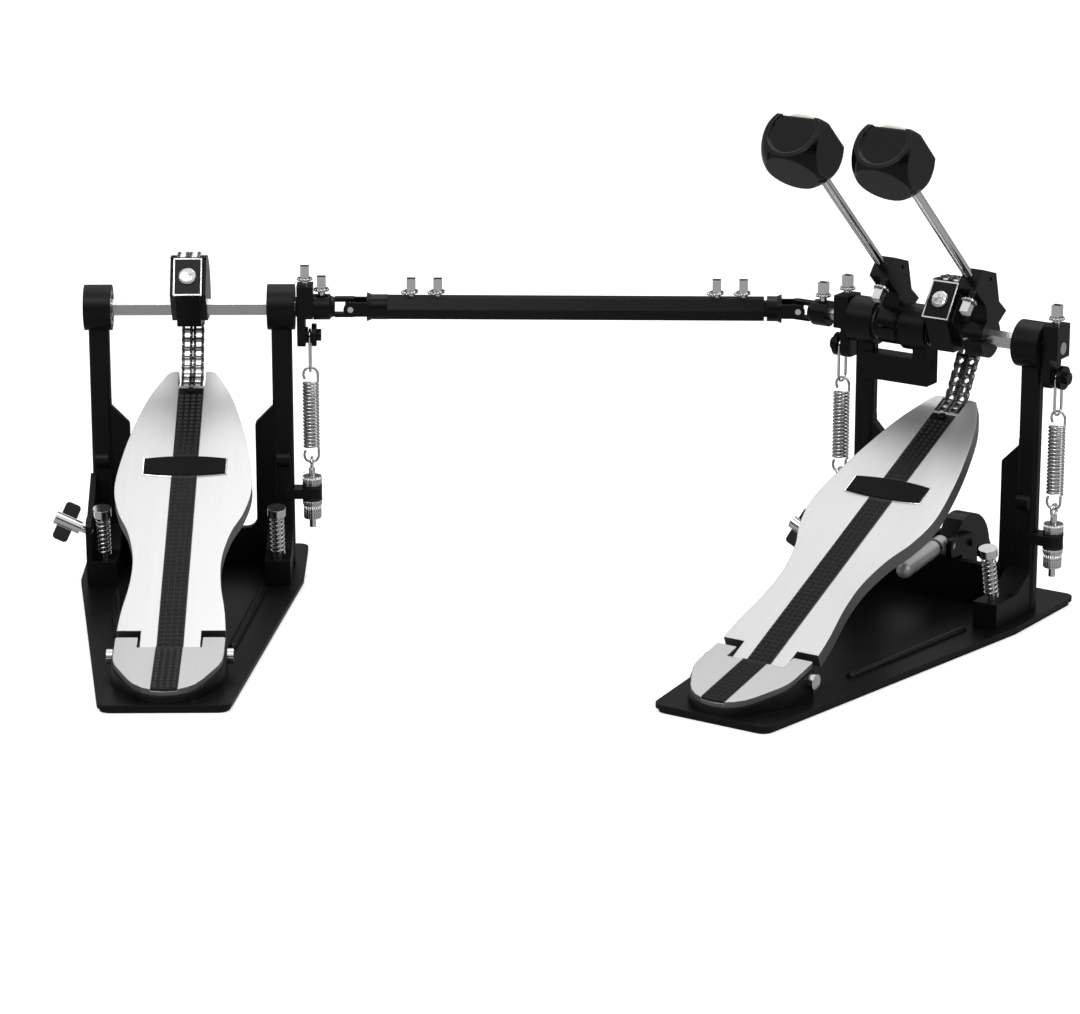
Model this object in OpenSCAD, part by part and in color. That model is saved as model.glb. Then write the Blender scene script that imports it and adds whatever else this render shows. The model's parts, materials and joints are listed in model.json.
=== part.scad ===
// Double bass drum pedal: a main pedal with two beaters and a side pedal, joined by a telescopic shaft.
// Each pedal is drawn in its own frame: X along the axle, Y from the heel to the drum, Z up,
// with the floor at zero and the axle straight above the origin.

/* [Stance] */
// Height of both axles above the floor
axle_h = 181.5; // [170:0.5:195]
// Distance between the middles of the two outer bearing housings
housing_gap = 120; // [110:1:130]
// Turn of the main pedal away from the drive shaft, in degrees
main_turn = 32.5; // [10:0.5:33]
// Turn of the side pedal away from the drive shaft, in degrees
side_turn = 2; // [0:0.5:15]
// Distance of the universal joint from the middle of the main pedal
main_reach = 113; // [111:0.5:117]
// Distance of the universal joint from the middle of the side pedal
side_reach = 106; // [105.5:0.5:112]

/* [Base] */
// Thickness of the rubber sole
sole_t = 2.5; // [1.5:0.25:4]
// Thickness of the steel base plate
plate_t = 3; // [2:0.25:4]
// Distance of the plate's heel edge behind the axle
base_heel = 292; // [286:1:300]
// Distance of the plate's widest corners behind the axle
base_corner = 36; // [30:1:45]
// Distance of the plate's drum edge in front of the axle
base_front = 46; // [44:1:54]
// Half of the plate's width at the heel
base_heel_half = 40; // [38:0.5:44]
// Half of the plate's width at its corners
base_half = 73.5; // [72:0.5:80]
// Height of the long pressed beads on the plate
bead_r = 3.2; // [2:0.1:4]

/* [Frame] */
// Width of a post
post_w = 13.5; // [12:0.5:15]
// Depth of a post
post_d = 9; // [8:0.5:12]
// Radius of a bearing housing
housing_r = 15; // [14:0.25:17]
// Length of a bearing housing
housing_l = 18; // [17:0.5:20]
// Height of the frame's cross web
web_h = 31; // [24:1:36]
// Height of the top of the side gussets
gusset_h = 115; // [100:1:125]
// Half of the width of the space between the gussets
portal_half = 41.5; // [38:0.5:44]
// Middle of the middle bearing housing, to the left of the main pedal's middle
middle_housing_x = 21; // [20:0.5:22]

/* [Axle] */
// Width of the hexagonal axle across its flats
hex_af = 9.6; // [9:0.1:10.5]
// Radius of the axle's round journals
journal_r = 4; // [3.5:0.1:4.5]
// Outer radius of a ball bearing
bearing_r = 11; // [10:0.25:12]
// Width of a ball bearing
bearing_w = 7; // [6:0.25:8]
// Radial running clearance of a shaft or a pin in its hole
run_clear = 0.05; // [0.02:0.01:0.09]

/* [Drive] */
// Radius of the chain's pin line round the cam
chain_r = 33.5; // [32:0.25:35]
// Pitch of the chain
chain_pitch = 6.35; // [6:0.05:6.6]
// Width of the double chain over its outer plates
chain_w = 14.4; // [13.5:0.1:15]
// Height of a chain plate
chain_h = 5.8; // [5:0.1:6]
// Width of the cam between its flanges
cam_w = 18.6; // [17:0.1:20]
// Thickness of a cam flange
flange_t = 2.4; // [1.5:0.1:3]

/* [Footboard] */
// Height of the board's upper face over the heel hinge end
board_z = 27; // [26.25:0.25:28.5]
// Distance of the board's lower end behind the axle
board_y = 226; // [222:1:230]
// Slope of the footboard in degrees
board_slope = 24.4; // [23:0.2:25]
// Length of the footboard from its lower end to its toe
board_len = 261; // [258:0.5:262]
// Depth of the footboard's rim
board_rim = 9; // [7:0.25:10]
// Thickness of the footboard's upper wall
board_wall = 4; // [3:0.25:5]
// Half of the board's width at its widest place
board_half = 44; // [42:0.5:46]
// Half of the board's width at its waist
waist_half = 28; // [26:0.5:30]
// Half of the board's width at its lower end
foot_half = 33.5; // [32:0.5:35]
// Half of the board's width at its toe
toe_half = 15; // [14:0.5:17]
// Width of the rubber tread
tread_w = 16.4; // [15:0.1:17]
// Slope of the heel plate in degrees
heel_slope = 12; // [10:0.5:12.5]
// Height of the heel plate's upper face at the hinge
heel_z = 26.25; // [25.5:0.25:27]
// Distance of the heel plate's rounded end behind the axle
heel_end = 290; // [286:1:291]
// Distance of the heel hinge behind the axle
hinge_y = 232; // [230:0.5:234]
// Height of the heel hinge
hinge_z = 16.75; // [16.25:0.25:17.25]
// Radius of the heel hinge's pin
hinge_r = 3; // [2.5:0.1:3.2]

/* [Beater] */
// Radius of the beater's round head
head_r = 26; // [24:0.5:28]
// Distance of the flat sides from the head's middle
head_flat = 19.5; // [18:0.25:21]
// Distance of the felt's flat side from the rod's line
felt_flat = 11; // [10.5:0.25:12]
// Distance of the head's middle up the rod
head_reach = 182; // [172:1:190]
// Radius of the beater's rod
rod_r = 3.1; // [2.8:0.1:3.4]
// Lean of the rods towards the player, in degrees
rod_lean = 48; // [44:0.5:50]
// Distance of the rod's line in front of the axle's line
rod_offset = 19; // [18:0.5:21]
// Middle of the main beater's hub
main_hub_x = 23; // [22:0.5:25]
// Middle of the second beater's hub, to the left of the main pedal's middle
second_hub_x = 40.5; // [40:0.5:41]
// Width of a beater hub
hub_w = 13; // [12:0.25:14]

/* [Springs] */
// Sideways distance of the springs from the pedal's middle
spring_x = 78.5; // [78:0.25:80]
// Distance of the roller below the axle
stud_drop = 19; // [18:0.5:20]
// Radius of a pull spring's middle line
coil_r = 4.75; // [4.5:0.05:5]
// Radius of a pull spring's wire
coil_wire = 0.8; // [0.7:0.05:0.8]
// Number of curls of a pull spring
coil_turns = 19; // [15:1:19]
// Length of a pull spring between its loops
coil_len = 45.2; // [44:0.2:48]
// Height of the eye that a pull spring hooks into
eye_z = 75; // [72:0.5:77]
// Height of the arm that carries the eye bolt
arm_z = 55; // [53:0.5:56]
// Number of curls of a spur spring
spur_turns = 6; // [4:1:7]
// Radius of a spur spring's wire
spur_wire = 0.7; // [0.5:0.05:0.8]

/* [Shaft] */
// Width of the drive tube across its flats
tube_af = 14.6; // [14:0.1:16]
// Width of the drive rod across its flats
rod_af = 10; // [9:0.1:10.5]
// Length of the drive tube
tube_len = 247; // [225:1:280]
// Radius of a universal joint's round body
yoke_r = 8.5; // [8:0.1:9]
// Radius of a cross pin
cross_r = 2; // [1.8:0.1:2.2]

/* [Hoop clamp] */
// Height of the clamp's hinge
clamp_z = 38; // [36:0.5:40]
// Distance of the clamp's hinge in front of the axle
clamp_y = 17; // [16:0.5:19]
// Width of the clamp jaw
jaw_w = 13; // [12:0.5:14]
// Free height of the clamp's mouth over the base plate
mouth_h = 15; // [12:0.5:18]
// Length of the clamp's lever
lever_len = 60; // [54:1:62]

/* [Hidden] */
$fn = 64;

black_metal = [0.06, 0.06, 0.065];
bright_steel = [0.78, 0.78, 0.8];
brushed = [0.8, 0.8, 0.82];
black_rubber = [0.03, 0.03, 0.03];
gloss_black = [0.02, 0.02, 0.025];
cream_felt = [0.85, 0.76, 0.66];
grey_lever = [0.62, 0.64, 0.66];

through = 1;
base_top = sole_t + plate_t;
house_x = housing_gap / 2;
house_in = house_x - housing_l / 2;
house_out = house_x + housing_l / 2;
tube_fork_end = 24;
rod_fork_end = 20;
shaft_gap = 2;
drive_len = tube_fork_end + tube_len + shaft_gap + rod_fork_end;
main_joint = [-main_reach * cos(main_turn), main_reach * sin(main_turn), axle_h];
side_joint = main_joint - [drive_len, 0, 0];
side_origin = side_joint - [side_reach * cos(side_turn), side_reach * sin(side_turn), axle_h];

// Chain geometry, seen along the axle: angles are measured from the drum side upwards.
// The links are numbered from the top of the cam down to the toe of the board.
wrap_links = 11;
drop_links = 6;
bend_first = 5;
drop_first = 9;
all_links = wrap_links + drop_links;
toe_point = [board_len * cos(board_slope) - board_y, board_z + board_len * sin(board_slope)];
pin_inset = 1.5;
pin_y = toe_point[0] - pin_inset;
pin_far = norm([chain_r, drop_links * chain_pitch]);
pin_drop = sqrt(pin_far * pin_far - pin_y * pin_y);
chain_leave = atan2(-pin_drop, pin_y) + acos(chain_r / pin_far);
link_angle = 2 * asin(chain_pitch / 2 / chain_r);
cam_gap = 0.3;
flange_rise = 0.6;
cam_r = chain_r - chain_h / 2 - cam_gap;
flange_r = chain_r + flange_rise;

// Where the front of the cam's plate stands, across and up from the axle
plate_top = [-5, 33.5];
plate_low = [-20, 11.5];
plate_slant = atan2(plate_top[1] - plate_low[1], plate_top[0] - plate_low[0]);
plate_len = norm(plate_top - plate_low);

function arc(c, r, a0, a1, n) =
    [for (i = [0 : n])
        let (a = a0 + (a1 - a0) * i / n)
        c + r * [cos(a), sin(a)]];

// Rounds every corner of a polygon with its own radius
function corner(a, p, b, r, n) =
    let (
        u = (a - p) / norm(a - p),
        v = (b - p) / norm(b - p),
        half = acos(u * v) / 2,
        s = p + u * r / tan(half),
        c = p + (u + v) / norm(u + v) * r / sin(half),
        a0 = atan2(s[1] - c[1], s[0] - c[0]),
        turn = (cross(p - a, b - p) > 0 ? 1 : -1) * (180 - 2 * half)
    )
    arc(c, r, a0, a0 + turn, n);
function rounded(pts, r, n = 4) =
    let (k = len(pts))
    [for (i = [0 : k - 1])
        each corner(pts[(i + k - 1) % k], pts[i], pts[(i + 1) % k], is_list(r) ? r[i] : r, n)];

// A smooth line through stations of [distance, width]
function between(p0, p1, p2, p3, t) =
    let (
        a = 2 * p1,
        b = p2 - p0,
        c = 2 * p0 - 5 * p1 + 4 * p2 - p3,
        d = 3 * p1 - p0 - 3 * p2 + p3
    )
    (a + b * t + c * t * t + d * t * t * t) / 2;
function smooth(st, n) =
    let (k = len(st))
    [for (i = [0 : k - 2], j = [0 : n - 1])
        between(st[max(i - 1, 0)], st[i], st[i + 1], st[min(i + 2, k - 1)], j / n)];

module at_main() {
    rotate([0, 0, -main_turn])
        children();
}
module at_side() {
    translate(side_origin)
        rotate([0, 0, side_turn])
            children();
}
// Lays a shape that stands on Z along the axle, starting at x
module on_axle(x) {
    translate([x, 0, axle_h])
        rotate([0, 90, 0])
            children();
}
// Extrudes a side view, drawn as [across, up], from x = low to x = high
module side_view(low, high) {
    translate([low, 0, 0])
        rotate([90, 0, 90])
            linear_extrude(high - low)
                children();
}
module bar_x(x0, x1, r, y, z) {
    translate([x0, y, z])
        rotate([0, 90, 0])
            cylinder(h = x1 - x0, r = r);
}
module hex_prism(af, h) {
    rotate([0, 0, 30])
        cylinder(h = h, r = af / sqrt(3), $fn = 6);
}

// Square-headed key screw, standing on its seat, with its shank going down
screw_shank_r = 2.4;
screw_flange_r = 4.6;
screw_square = 5.6;
screw_head_h = 8;
screw_flange_t = 1.6;
screw_neck = 3;
short_neck = 2.4;
module key_screw(depth, neck) {
    translate([0, 0, -depth])
        cylinder(h = depth + neck, r = screw_shank_r);
    translate([0, 0, neck])
        cylinder(h = screw_flange_t, r = screw_flange_r);
    translate([0, 0, neck + screw_flange_t + screw_head_h / 2])
        cube([screw_square, screw_square, screw_head_h], center = true);
}

// Base plate, sole and heel casting
base_corner_r = 7;
sole_inset = 1.5;
function base_outline(in) = rounded([
    [-base_heel_half + in, -base_heel + in],
    [base_heel_half - in, -base_heel + in],
    [base_half - in, -base_corner],
    [base_half - in, base_front - in],
    [-base_half + in, base_front - in],
    [-base_half + in, -base_corner]
], [base_corner_r, base_corner_r, 18, base_corner_r, base_corner_r, 18]);
bead_low = [35, -182];
bead_high = [48, -64];
bead_run = norm(bead_high - bead_low);
bead_turn = atan2(bead_high[0] - bead_low[0], bead_high[1] - bead_low[1]);
module bead(side) {
    translate([side * bead_low[0], bead_low[1], base_top])
        rotate([-90, 0, -side * bead_turn])
            union() {
                cylinder(h = bead_run, r = bead_r);
                sphere(r = bead_r);
                translate([0, 0, bead_run])
                    sphere(r = bead_r);
            }
}
heel_half = 35;
heel_front = hinge_y - 5;
heel_notch = hinge_y + 7;
ear_in = 20;
heel_tip_half = 17;
heel_round = 34;
heel_plate_t = 4;
heel_cut_h = 60;
barrel_r = 5.6;
function heel_outline(in) = rounded([
    [-heel_tip_half + in, -heel_end + in],
    [heel_tip_half - in, -heel_end + in],
    [heel_half - in, -heel_end + heel_round],
    [heel_half - in, -heel_front],
    [ear_in, -heel_front],
    [ear_in, -heel_notch],
    [-ear_in, -heel_notch],
    [-ear_in, -heel_front],
    [-heel_half + in, -heel_front],
    [-heel_half + in, -heel_end + heel_round]
], [24, 24, 30, 1.5, 1, 1, 1, 1, 1.5, 30]);
// Everything below the heel's sloping plane, moved down by drop
module under_heel(drop) {
    translate([0, -hinge_y, heel_z - drop])
        rotate([heel_slope, 0, 0])
            translate([-100, -100, -heel_cut_h])
                cube([200, 200, heel_cut_h]);
}
module heel_block() {
    difference() {
        intersection() {
            translate([0, 0, base_top])
                linear_extrude(heel_cut_h)
                    polygon(heel_outline(0));
            under_heel(heel_plate_t);
        }
        bar_x(-heel_half - through, heel_half + through, hinge_r + 0.01, -hinge_y, hinge_z);
    }
}
module spur_holes() {
    for (side = [-1, 1]) {
        spur_axis(side)
            translate([0, 0, -2 * base_top])
                cylinder(h = 4 * base_top, r = spur_r + 0.05);
    }
}
module base_plate() {
    color(black_metal) {
        difference() {
            translate([0, 0, sole_t])
                linear_extrude(plate_t)
                    polygon(base_outline(0));
            spur_holes();
        }
        for (side = [-1, 1]) {
            intersection() {
                bead(side);
                translate([-base_half, -base_heel, base_top - 0.5])
                    cube([2 * base_half, base_heel, 2 * bead_r]);
            }
        }
        heel_block();
    }
}
module heel_plate() {
    color(brushed)
        difference() {
            intersection() {
                translate([0, 0, base_top])
                    linear_extrude(heel_cut_h)
                        polygon(heel_outline(1.2));
                under_heel(0);
            }
            under_heel(heel_plate_t);
            rotate_to_heel()
                translate([-tread_w / 2, -80, -groove_d])
                    cube([tread_w, 100, 10]);
        }
}
module rotate_to_heel() {
    translate([0, -hinge_y, heel_z])
        rotate([heel_slope, 0, 0])
            children();
}
washer_r = 6.6;
washer_t = 2;
module rubbers(dirs) {
    color(black_rubber) {
        difference() {
            linear_extrude(sole_t)
                polygon(base_outline(sole_inset));
            spur_holes();
        }
        for (dir = dirs) {
            spring_washers(dir * spring_x);
        }
        heel_tread();
    }
}
module spring_washers(x) {
    for (z = [arm_z + arm_t / 2, arm_z - arm_t / 2 - washer_t]) {
        translate([x, 0, z])
            difference() {
                cylinder(h = washer_t, r = washer_r);
                translate([0, 0, -through])
                    cylinder(h = washer_t + 2 * through, r = eye_shank_r + 0.05);
            }
    }
}

// Frame
post_chamfer = 2.4;
foot_w = 17;
foot_l = 50;
foot_h = 22;
arm_t = 6.5;
arm_half = 8;
spur_y = 36;
spur_x = house_x - 3;
spur_tilt = 12;
spur_r = 2.4;
nub_z = 79;
nub_r = 5.5;
nub_w = 9;
web_t = 6;
eye_shank_r = 2.2;
wing_y = -45;
wing_z = 42;
wing_tilt = 25;
wing_hole_r = 2.2;
lug_out = 68;
lug_in = 64;
// Axis of the wing screw: X runs along it, with its origin in the lug
module wing_place() {
    translate([-lug_out, wing_y, wing_z])
        rotate([0, wing_tilt, 0])
            children();
}
module wing_lug() {
    side_view(-lug_out, -lug_in)
        polygon(rounded([
            [-foot_l + 1, base_top + 1],
            [-1, base_top + 1],
            [-1, 72],
            [wing_y + 8, wing_z + 8],
            [wing_y - 7, wing_z + 8]
        ], [1, 1, 3, 6, 6]));
}
inner_bore = 7;
function post_outline() = rounded([
    [-post_w / 2, -post_d / 2],
    [post_w / 2, -post_d / 2],
    [post_w / 2, post_d / 2],
    [-post_w / 2, post_d / 2]
], post_chamfer, 2);
module post(x) {
    translate([x, 0, base_top])
        linear_extrude(axle_h - housing_r * 0.6 - base_top)
            polygon(post_outline());
}
module housing(x) {
    on_axle(x - housing_l / 2)
        cylinder(h = housing_l, r = housing_r);
}
// Pocket for one bearing that opens to the side that points towards dir
module pocket(x, dir) {
    on_axle(dir > 0 ? x + housing_l / 2 - bearing_w - 0.5 : x - housing_l / 2 - through)
        cylinder(h = bearing_w + 0.5 + through, r = bearing_r);
}
module frame_wall() {
    portal = rounded([
        [-portal_half, web_h],
        [portal_half, web_h],
        [portal_half, gusset_h - 12],
        [house_x - post_w / 2, gusset_h],
        [house_x - post_w / 2, axle_h],
        [-house_x + post_w / 2, axle_h],
        [-house_x + post_w / 2, gusset_h],
        [-portal_half, gusset_h - 12]
    ], [7, 7, 3, 1, 1, 1, 1, 3]);
    translate([0, web_t / 2, 0])
        rotate([90, 0, 0])
            linear_extrude(web_t)
                difference() {
                    translate([-house_x, base_top])
                        square([2 * house_x, gusset_h + 4 - base_top]);
                    polygon(portal);
                }
}
module foot(side) {
    side_view(side * spur_x - foot_w / 2, side * spur_x + foot_w / 2)
        polygon([
            [-foot_l, base_top],
            [0, base_top],
            [0, foot_h + 14],
            [-foot_l * 0.45, foot_h],
            [-foot_l, foot_h]
        ]);
}
module spur_axis(side) {
    translate([side * spur_x, -spur_y, 0])
        rotate([spur_tilt, 0, 0])
            children();
}
module spring_arm(dir) {
    reach = spring_x - house_x;
    translate([0, 0, arm_z - arm_t / 2])
        linear_extrude(arm_t)
            difference() {
                union() {
                    translate([dir > 0 ? house_x : -spring_x, -arm_half + 1.5])
                        square([reach, 2 * arm_half - 3]);
                    translate([dir * spring_x, 0])
                        circle(r = arm_half - 1.5);
                }
                translate([dir * spring_x, 0])
                    circle(r = eye_shank_r + 0.05);
            }
}
module frame_body(arm_dirs) {
    union() {
        for (side = [-1, 1]) {
            post(side * house_x);
            housing(side * house_x);
            foot(side);
            bar_x(side * house_x - nub_w / 2, side * house_x + nub_w / 2, nub_r, -post_d / 2, nub_z);
        }
        wing_lug();
        frame_wall();
        for (dir = arm_dirs) {
            spring_arm(dir);
        }
    }
}
module frame_cuts() {
    pocket(-house_x, 1);
    pocket(house_x, -1);
    for (side = [-1, 1]) {
        on_axle(side * house_x - housing_l)
            cylinder(h = 2 * housing_l, r = inner_bore);
        spur_axis(side)
            translate([0, 0, -10])
                cylinder(h = 80, r = spur_r + 0.05);
    }
    wing_place()
        bar_x(-20, 20, wing_hole_r + 0.05, 0, 0);
}
cross_arm_top = 20;
cross_arm_low = 37;
cross_arm_d = 14;
module side_frame_local() {
    color(black_metal)
        difference() {
            frame_body([1]);
            frame_cuts();
        }
}
module main_frame_local() {
    mid = -middle_housing_x;
    arm_end = mid + housing_l / 2;
    color(black_metal)
        difference() {
            union() {
                frame_body([-1, 1]);
                housing(mid);
                translate([-house_x, -cross_arm_d / 2, axle_h - cross_arm_low])
                    cube([house_x + arm_end, cross_arm_d, cross_arm_low - cross_arm_top]);
                translate([arm_end - 11, -cross_arm_d / 2, axle_h - cross_arm_low])
                    cube([11, cross_arm_d, cross_arm_low - housing_r * 0.7]);
                clamp_cheeks();
            }
            clamp_holes();
            frame_cuts();
            pocket(mid, 1);
            pocket(mid, -1);
            on_axle(mid - housing_l)
                cylinder(h = 2 * housing_l, r = inner_bore);
        }
}

// One ball bearing, with its rings, seal and bore, from x towards +X
module bearing(x) {
    on_axle(x)
        difference() {
            cylinder(h = bearing_w, r = bearing_r - 0.02);
            translate([0, 0, -through])
                cylinder(h = bearing_w + 2 * through, r = journal_r + run_clear);
            for (z = [-through, bearing_w - 0.6]) {
                translate([0, 0, z])
                    difference() {
                        cylinder(h = 0.6 + through, r = bearing_r - 1.8);
                        translate([0, 0, -through])
                            cylinder(h = 4 * through, r = journal_r + 2.2);
                    }
            }
        }
}
module outer_bearings() {
    color(bright_steel) {
        bearing(-house_in - bearing_w);
        bearing(house_in);
    }
}
module middle_bearings() {
    color(bright_steel)
        for (x = [-middle_housing_x - housing_l / 2, -middle_housing_x + housing_l / 2 - bearing_w]) {
            bearing(x);
        }
}

// Bright bolts that belong to the frame: hinge pin, spurs and eye bolts
spur_top = 54;
spur_head_r = 6;
spur_head_h = 5.5;
pin_head_t = 3.9;
pin_head_r = 5;
nut_r = 6.2;
module hinge_pin() {
    bar_x(-heel_half - 2, heel_half + 2, hinge_r, -hinge_y, hinge_z);
    for (x = [-heel_half - 0.1 - pin_head_t, heel_half + 0.1]) {
        bar_x(x, x + pin_head_t, pin_head_r, -hinge_y, hinge_z);
    }
}
module spur_bolt(side) {
    spur_axis(side) {
        translate([0, 0, 2])
            cylinder(h = spur_top - 2, r = spur_r);
        translate([0, 0, spur_top])
            cylinder(h = spur_head_h, r = spur_head_r);
        translate([0, 0, 0.5])
            cylinder(h = 1.5, r1 = 1.2, r2 = spur_r);
    }
}
eye_r = 3.7;
eye_wire = 1;
nut_low = 12.5;
nut_high = 6;
nut_collar = 3;
bolt_below = 24;
module eye_bolt(x) {
    top = eye_z - eye_r;
    translate([x, 0, eye_z])
        rotate([0, 90, 0])
            rotate_extrude()
                translate([eye_r, 0])
                    circle(r = eye_wire, $fn = 24);
    translate([x, 0, arm_z - bolt_below])
        cylinder(h = top - arm_z + bolt_below, r = eye_shank_r);
    translate([x, 0, arm_z + arm_t / 2 + washer_t])
        cylinder(h = nut_high, r = nut_r);
    translate([x, 0, arm_z - arm_t / 2 - washer_t - nut_low])
        union() {
            cylinder(h = nut_low, r = nut_r - 0.6);
            translate([0, 0, nut_low - nut_collar])
                cylinder(h = nut_collar, r = nut_r);
        }
}
module frame_bolts(dirs) {
    color(bright_steel) {
        hinge_pin();
        for (side = [-1, 1]) {
            spur_bolt(side);
        }
        for (dir = dirs) {
            eye_bolt(dir * spring_x);
        }
    }
}

// Wing screw in the left foot, with two blades along its axis
wing_span = 13;
wing_mid = -14;
wing_half = 5.2;
wing_t = 2.6;
module wing_screw_shape() {
    wing_place()
        union() {
            bar_x(wing_mid - 4, 4.2, wing_hole_r, 0, 0);
            bar_x(wing_mid - 8, -4.2, 4.2, 0, 0);
            rotate([70, 0, 0])
                translate([wing_mid, 0, -wing_t / 2])
                    linear_extrude(wing_t)
                        polygon(rounded([
                            [-wing_half, -wing_span],
                            [wing_half, -wing_span],
                            [wing_half, wing_span],
                            [-wing_half, wing_span]
                        ], 2.5, 4));
        }
}
module wing_screw() {
    color(bright_steel)
        wing_screw_shape();
}

// Cam, its bright front plate and the screws that turn with the axle
plate_shank_r = 2.4;
core_foot = [[plate_low[0], plate_low[1]], [-9, -11], [5, -11]];
module cam() {
    color(black_metal)
        difference() {
            translate([0, 0, axle_h])
                union() {
                    side_view(-cam_w / 2 + 1.4, cam_w / 2 - 1.4)
                        polygon(concat([plate_top], core_foot, arc([0, 0], cam_r, -35, 97, 22)));
                    side_view(-cam_w / 2 - flange_t, -cam_w / 2 + 1.4)
                        polygon(flange_outline());
                    side_view(cam_w / 2 - 1.4, cam_w / 2 + flange_t)
                        polygon(flange_outline());
                }
            on_axle(-cam_w)
                rotate([0, 0, 90])
                    hex_prism(hex_af, 2 * cam_w);
            cam_plate_place()
                translate([plate_len / 2, 0, -plate_screw_depth - 4])
                    cylinder(h = 20, r = plate_shank_r + 0.1);
        }
}
function flange_outline() = concat(
    [plate_top + [2, -1], plate_low + [2, 1], [-8, 0], [0, -9]],
    arc([0, 0], flange_r, -20, 96, 20)
);
// Places a shape on the slanting front of the cam: X runs up the slope and Z points outwards
module cam_plate_place() {
    translate([0, plate_low[0], axle_h + plate_low[1]])
        rotate([plate_slant, 0, 0])
            rotate([0, 0, 90])
                children();
}
rim_t = 1.6;
rim_in = 0.3;
rim_floor = 1;
plate_screw_r = 5.6;
plate_screw_depth = 12;
module cam_plate() {
    rim_len = plate_len - 2 * rim_in;
    cam_plate_place() {
        difference() {
            translate([rim_in, -cam_w / 2, 0.05])
                cube([rim_len, cam_w, rim_t + 0.6]);
            translate([rim_in + rim_t, -cam_w / 2 + rim_t, rim_floor])
                cube([rim_len - 2 * rim_t, cam_w - 2 * rim_t, rim_t + through]);
            translate([plate_len / 2, 0, -through])
                cylinder(h = 6, r = plate_shank_r + 0.1);
        }
        translate([plate_len / 2, 0, rim_floor + 0.05])
            cylinder(h = 2.6, r = plate_screw_r);
        translate([plate_len / 2, 0, -plate_screw_depth])
            cylinder(h = plate_screw_depth + 1.5, r = plate_shank_r);
    }
}

// Beater hub: drawn with the rod's line upright, then leaned back
collar_r = 13;
block_low = 22;
block_high = 41;
block_mid = (block_low + block_high) / 2;
block_back = 8;
block_front = 7;
module lean() {
    translate([0, 0, axle_h])
        rotate([rod_lean, 0, 0])
            children();
}
module hub(x) {
    rod_y = rod_offset;
    color(black_metal)
        difference() {
            union() {
                on_axle(x - hub_w / 2)
                    cylinder(h = hub_w, r = collar_r);
                lean() {
                    side_view(x - hub_w / 2, x + hub_w / 2)
                        polygon([
                            [rod_y - block_back, block_low],
                            [rod_y - block_back, block_high],
                            [rod_y + block_front, block_high],
                            [rod_y + block_front, block_low]
                        ]);
                    side_view(x + hub_w / 2 - 3.2, x + hub_w / 2)
                        polygon([
                            [rod_y - block_back, block_high],
                            [rod_y + block_front, block_high],
                            [rod_y + 15, block_low + 2],
                            [rod_y + 4, 7],
                            [rod_y + 5, -6],
                            [4, 0],
                            [rod_y - block_back, block_low]
                        ]);
                    side_view(x - hub_w / 2, x + hub_w / 2)
                        polygon([
                            [rod_y - 6, block_low + 1],
                            [rod_y + 6, block_low + 1],
                            [rod_y + 2, 5],
                            [4, -2],
                            [2, 8]
                        ]);
                }
            }
            on_axle(x - hub_w)
                rotate([0, 0, 90])
                    hex_prism(hex_af, 2 * hub_w);
            translate([x - hub_w, -collar_r - through, axle_h - 1])
                cube([2 * hub_w, collar_r - 3, 2]);
            lean() {
                translate([x, rod_y, block_low - 8])
                    cylinder(h = 40, r = rod_r);
                translate([x, rod_y, block_mid])
                    rotate([90, 0, 0])
                        cylinder(h = 20, r = screw_shank_r);
                translate([x - hub_w, rod_y + 8, block_low + 6])
                    rotate([0, 90, 0])
                        cylinder(h = 2 * hub_w, r = 1.5);
            }
        }
}
module hub_screw(x) {
    lean()
        translate([x, rod_offset - block_back, block_mid])
            rotate([90, 0, 0])
                key_screw(block_back - rod_r - 0.1, screw_neck);
}
rod_low = 17;
module beater_rod(x) {
    color(bright_steel)
        lean()
            translate([x, rod_offset, rod_low])
                cylinder(h = head_reach - rod_low + 4, r = rod_r);
}
disc_at = 18.5;
dish_r = 15.5;
felt_r = 15.5;
felt_t = 4;
felt_in = 1;
module beater_head(x) {
    color(gloss_black)
        lean()
            translate([x, rod_offset, head_reach])
                difference() {
                    sphere(r = head_r, $fn = 96);
                    for (cut = [[0, head_flat], [90, felt_flat], [180, head_flat], [270, head_flat]]) {
                        rotate([0, 0, cut[0]])
                            translate([cut[1], -head_r, -head_r])
                                cube([head_r, 2 * head_r, 2 * head_r]);
                    }
                    translate([-head_r, -head_r, disc_at])
                        cube([2 * head_r, 2 * head_r, head_r]);
                    translate([0, 0, disc_at - 1.6])
                        cylinder(h = 5, r = dish_r);
                    translate([0, 0, -head_r - through])
                        cylinder(h = head_r + 5 + through, r = rod_r);
                    translate([0, felt_flat - felt_in, 0])
                        rotate([-90, 0, 0])
                            cylinder(h = head_r, r = felt_r + 0.05);
                }
}
module beater_felt(x) {
    color(cream_felt)
        lean()
            translate([x, rod_offset + felt_flat - felt_in, head_reach])
                rotate([-90, 0, 0])
                    cylinder(h = felt_t, r = felt_r);
}

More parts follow.
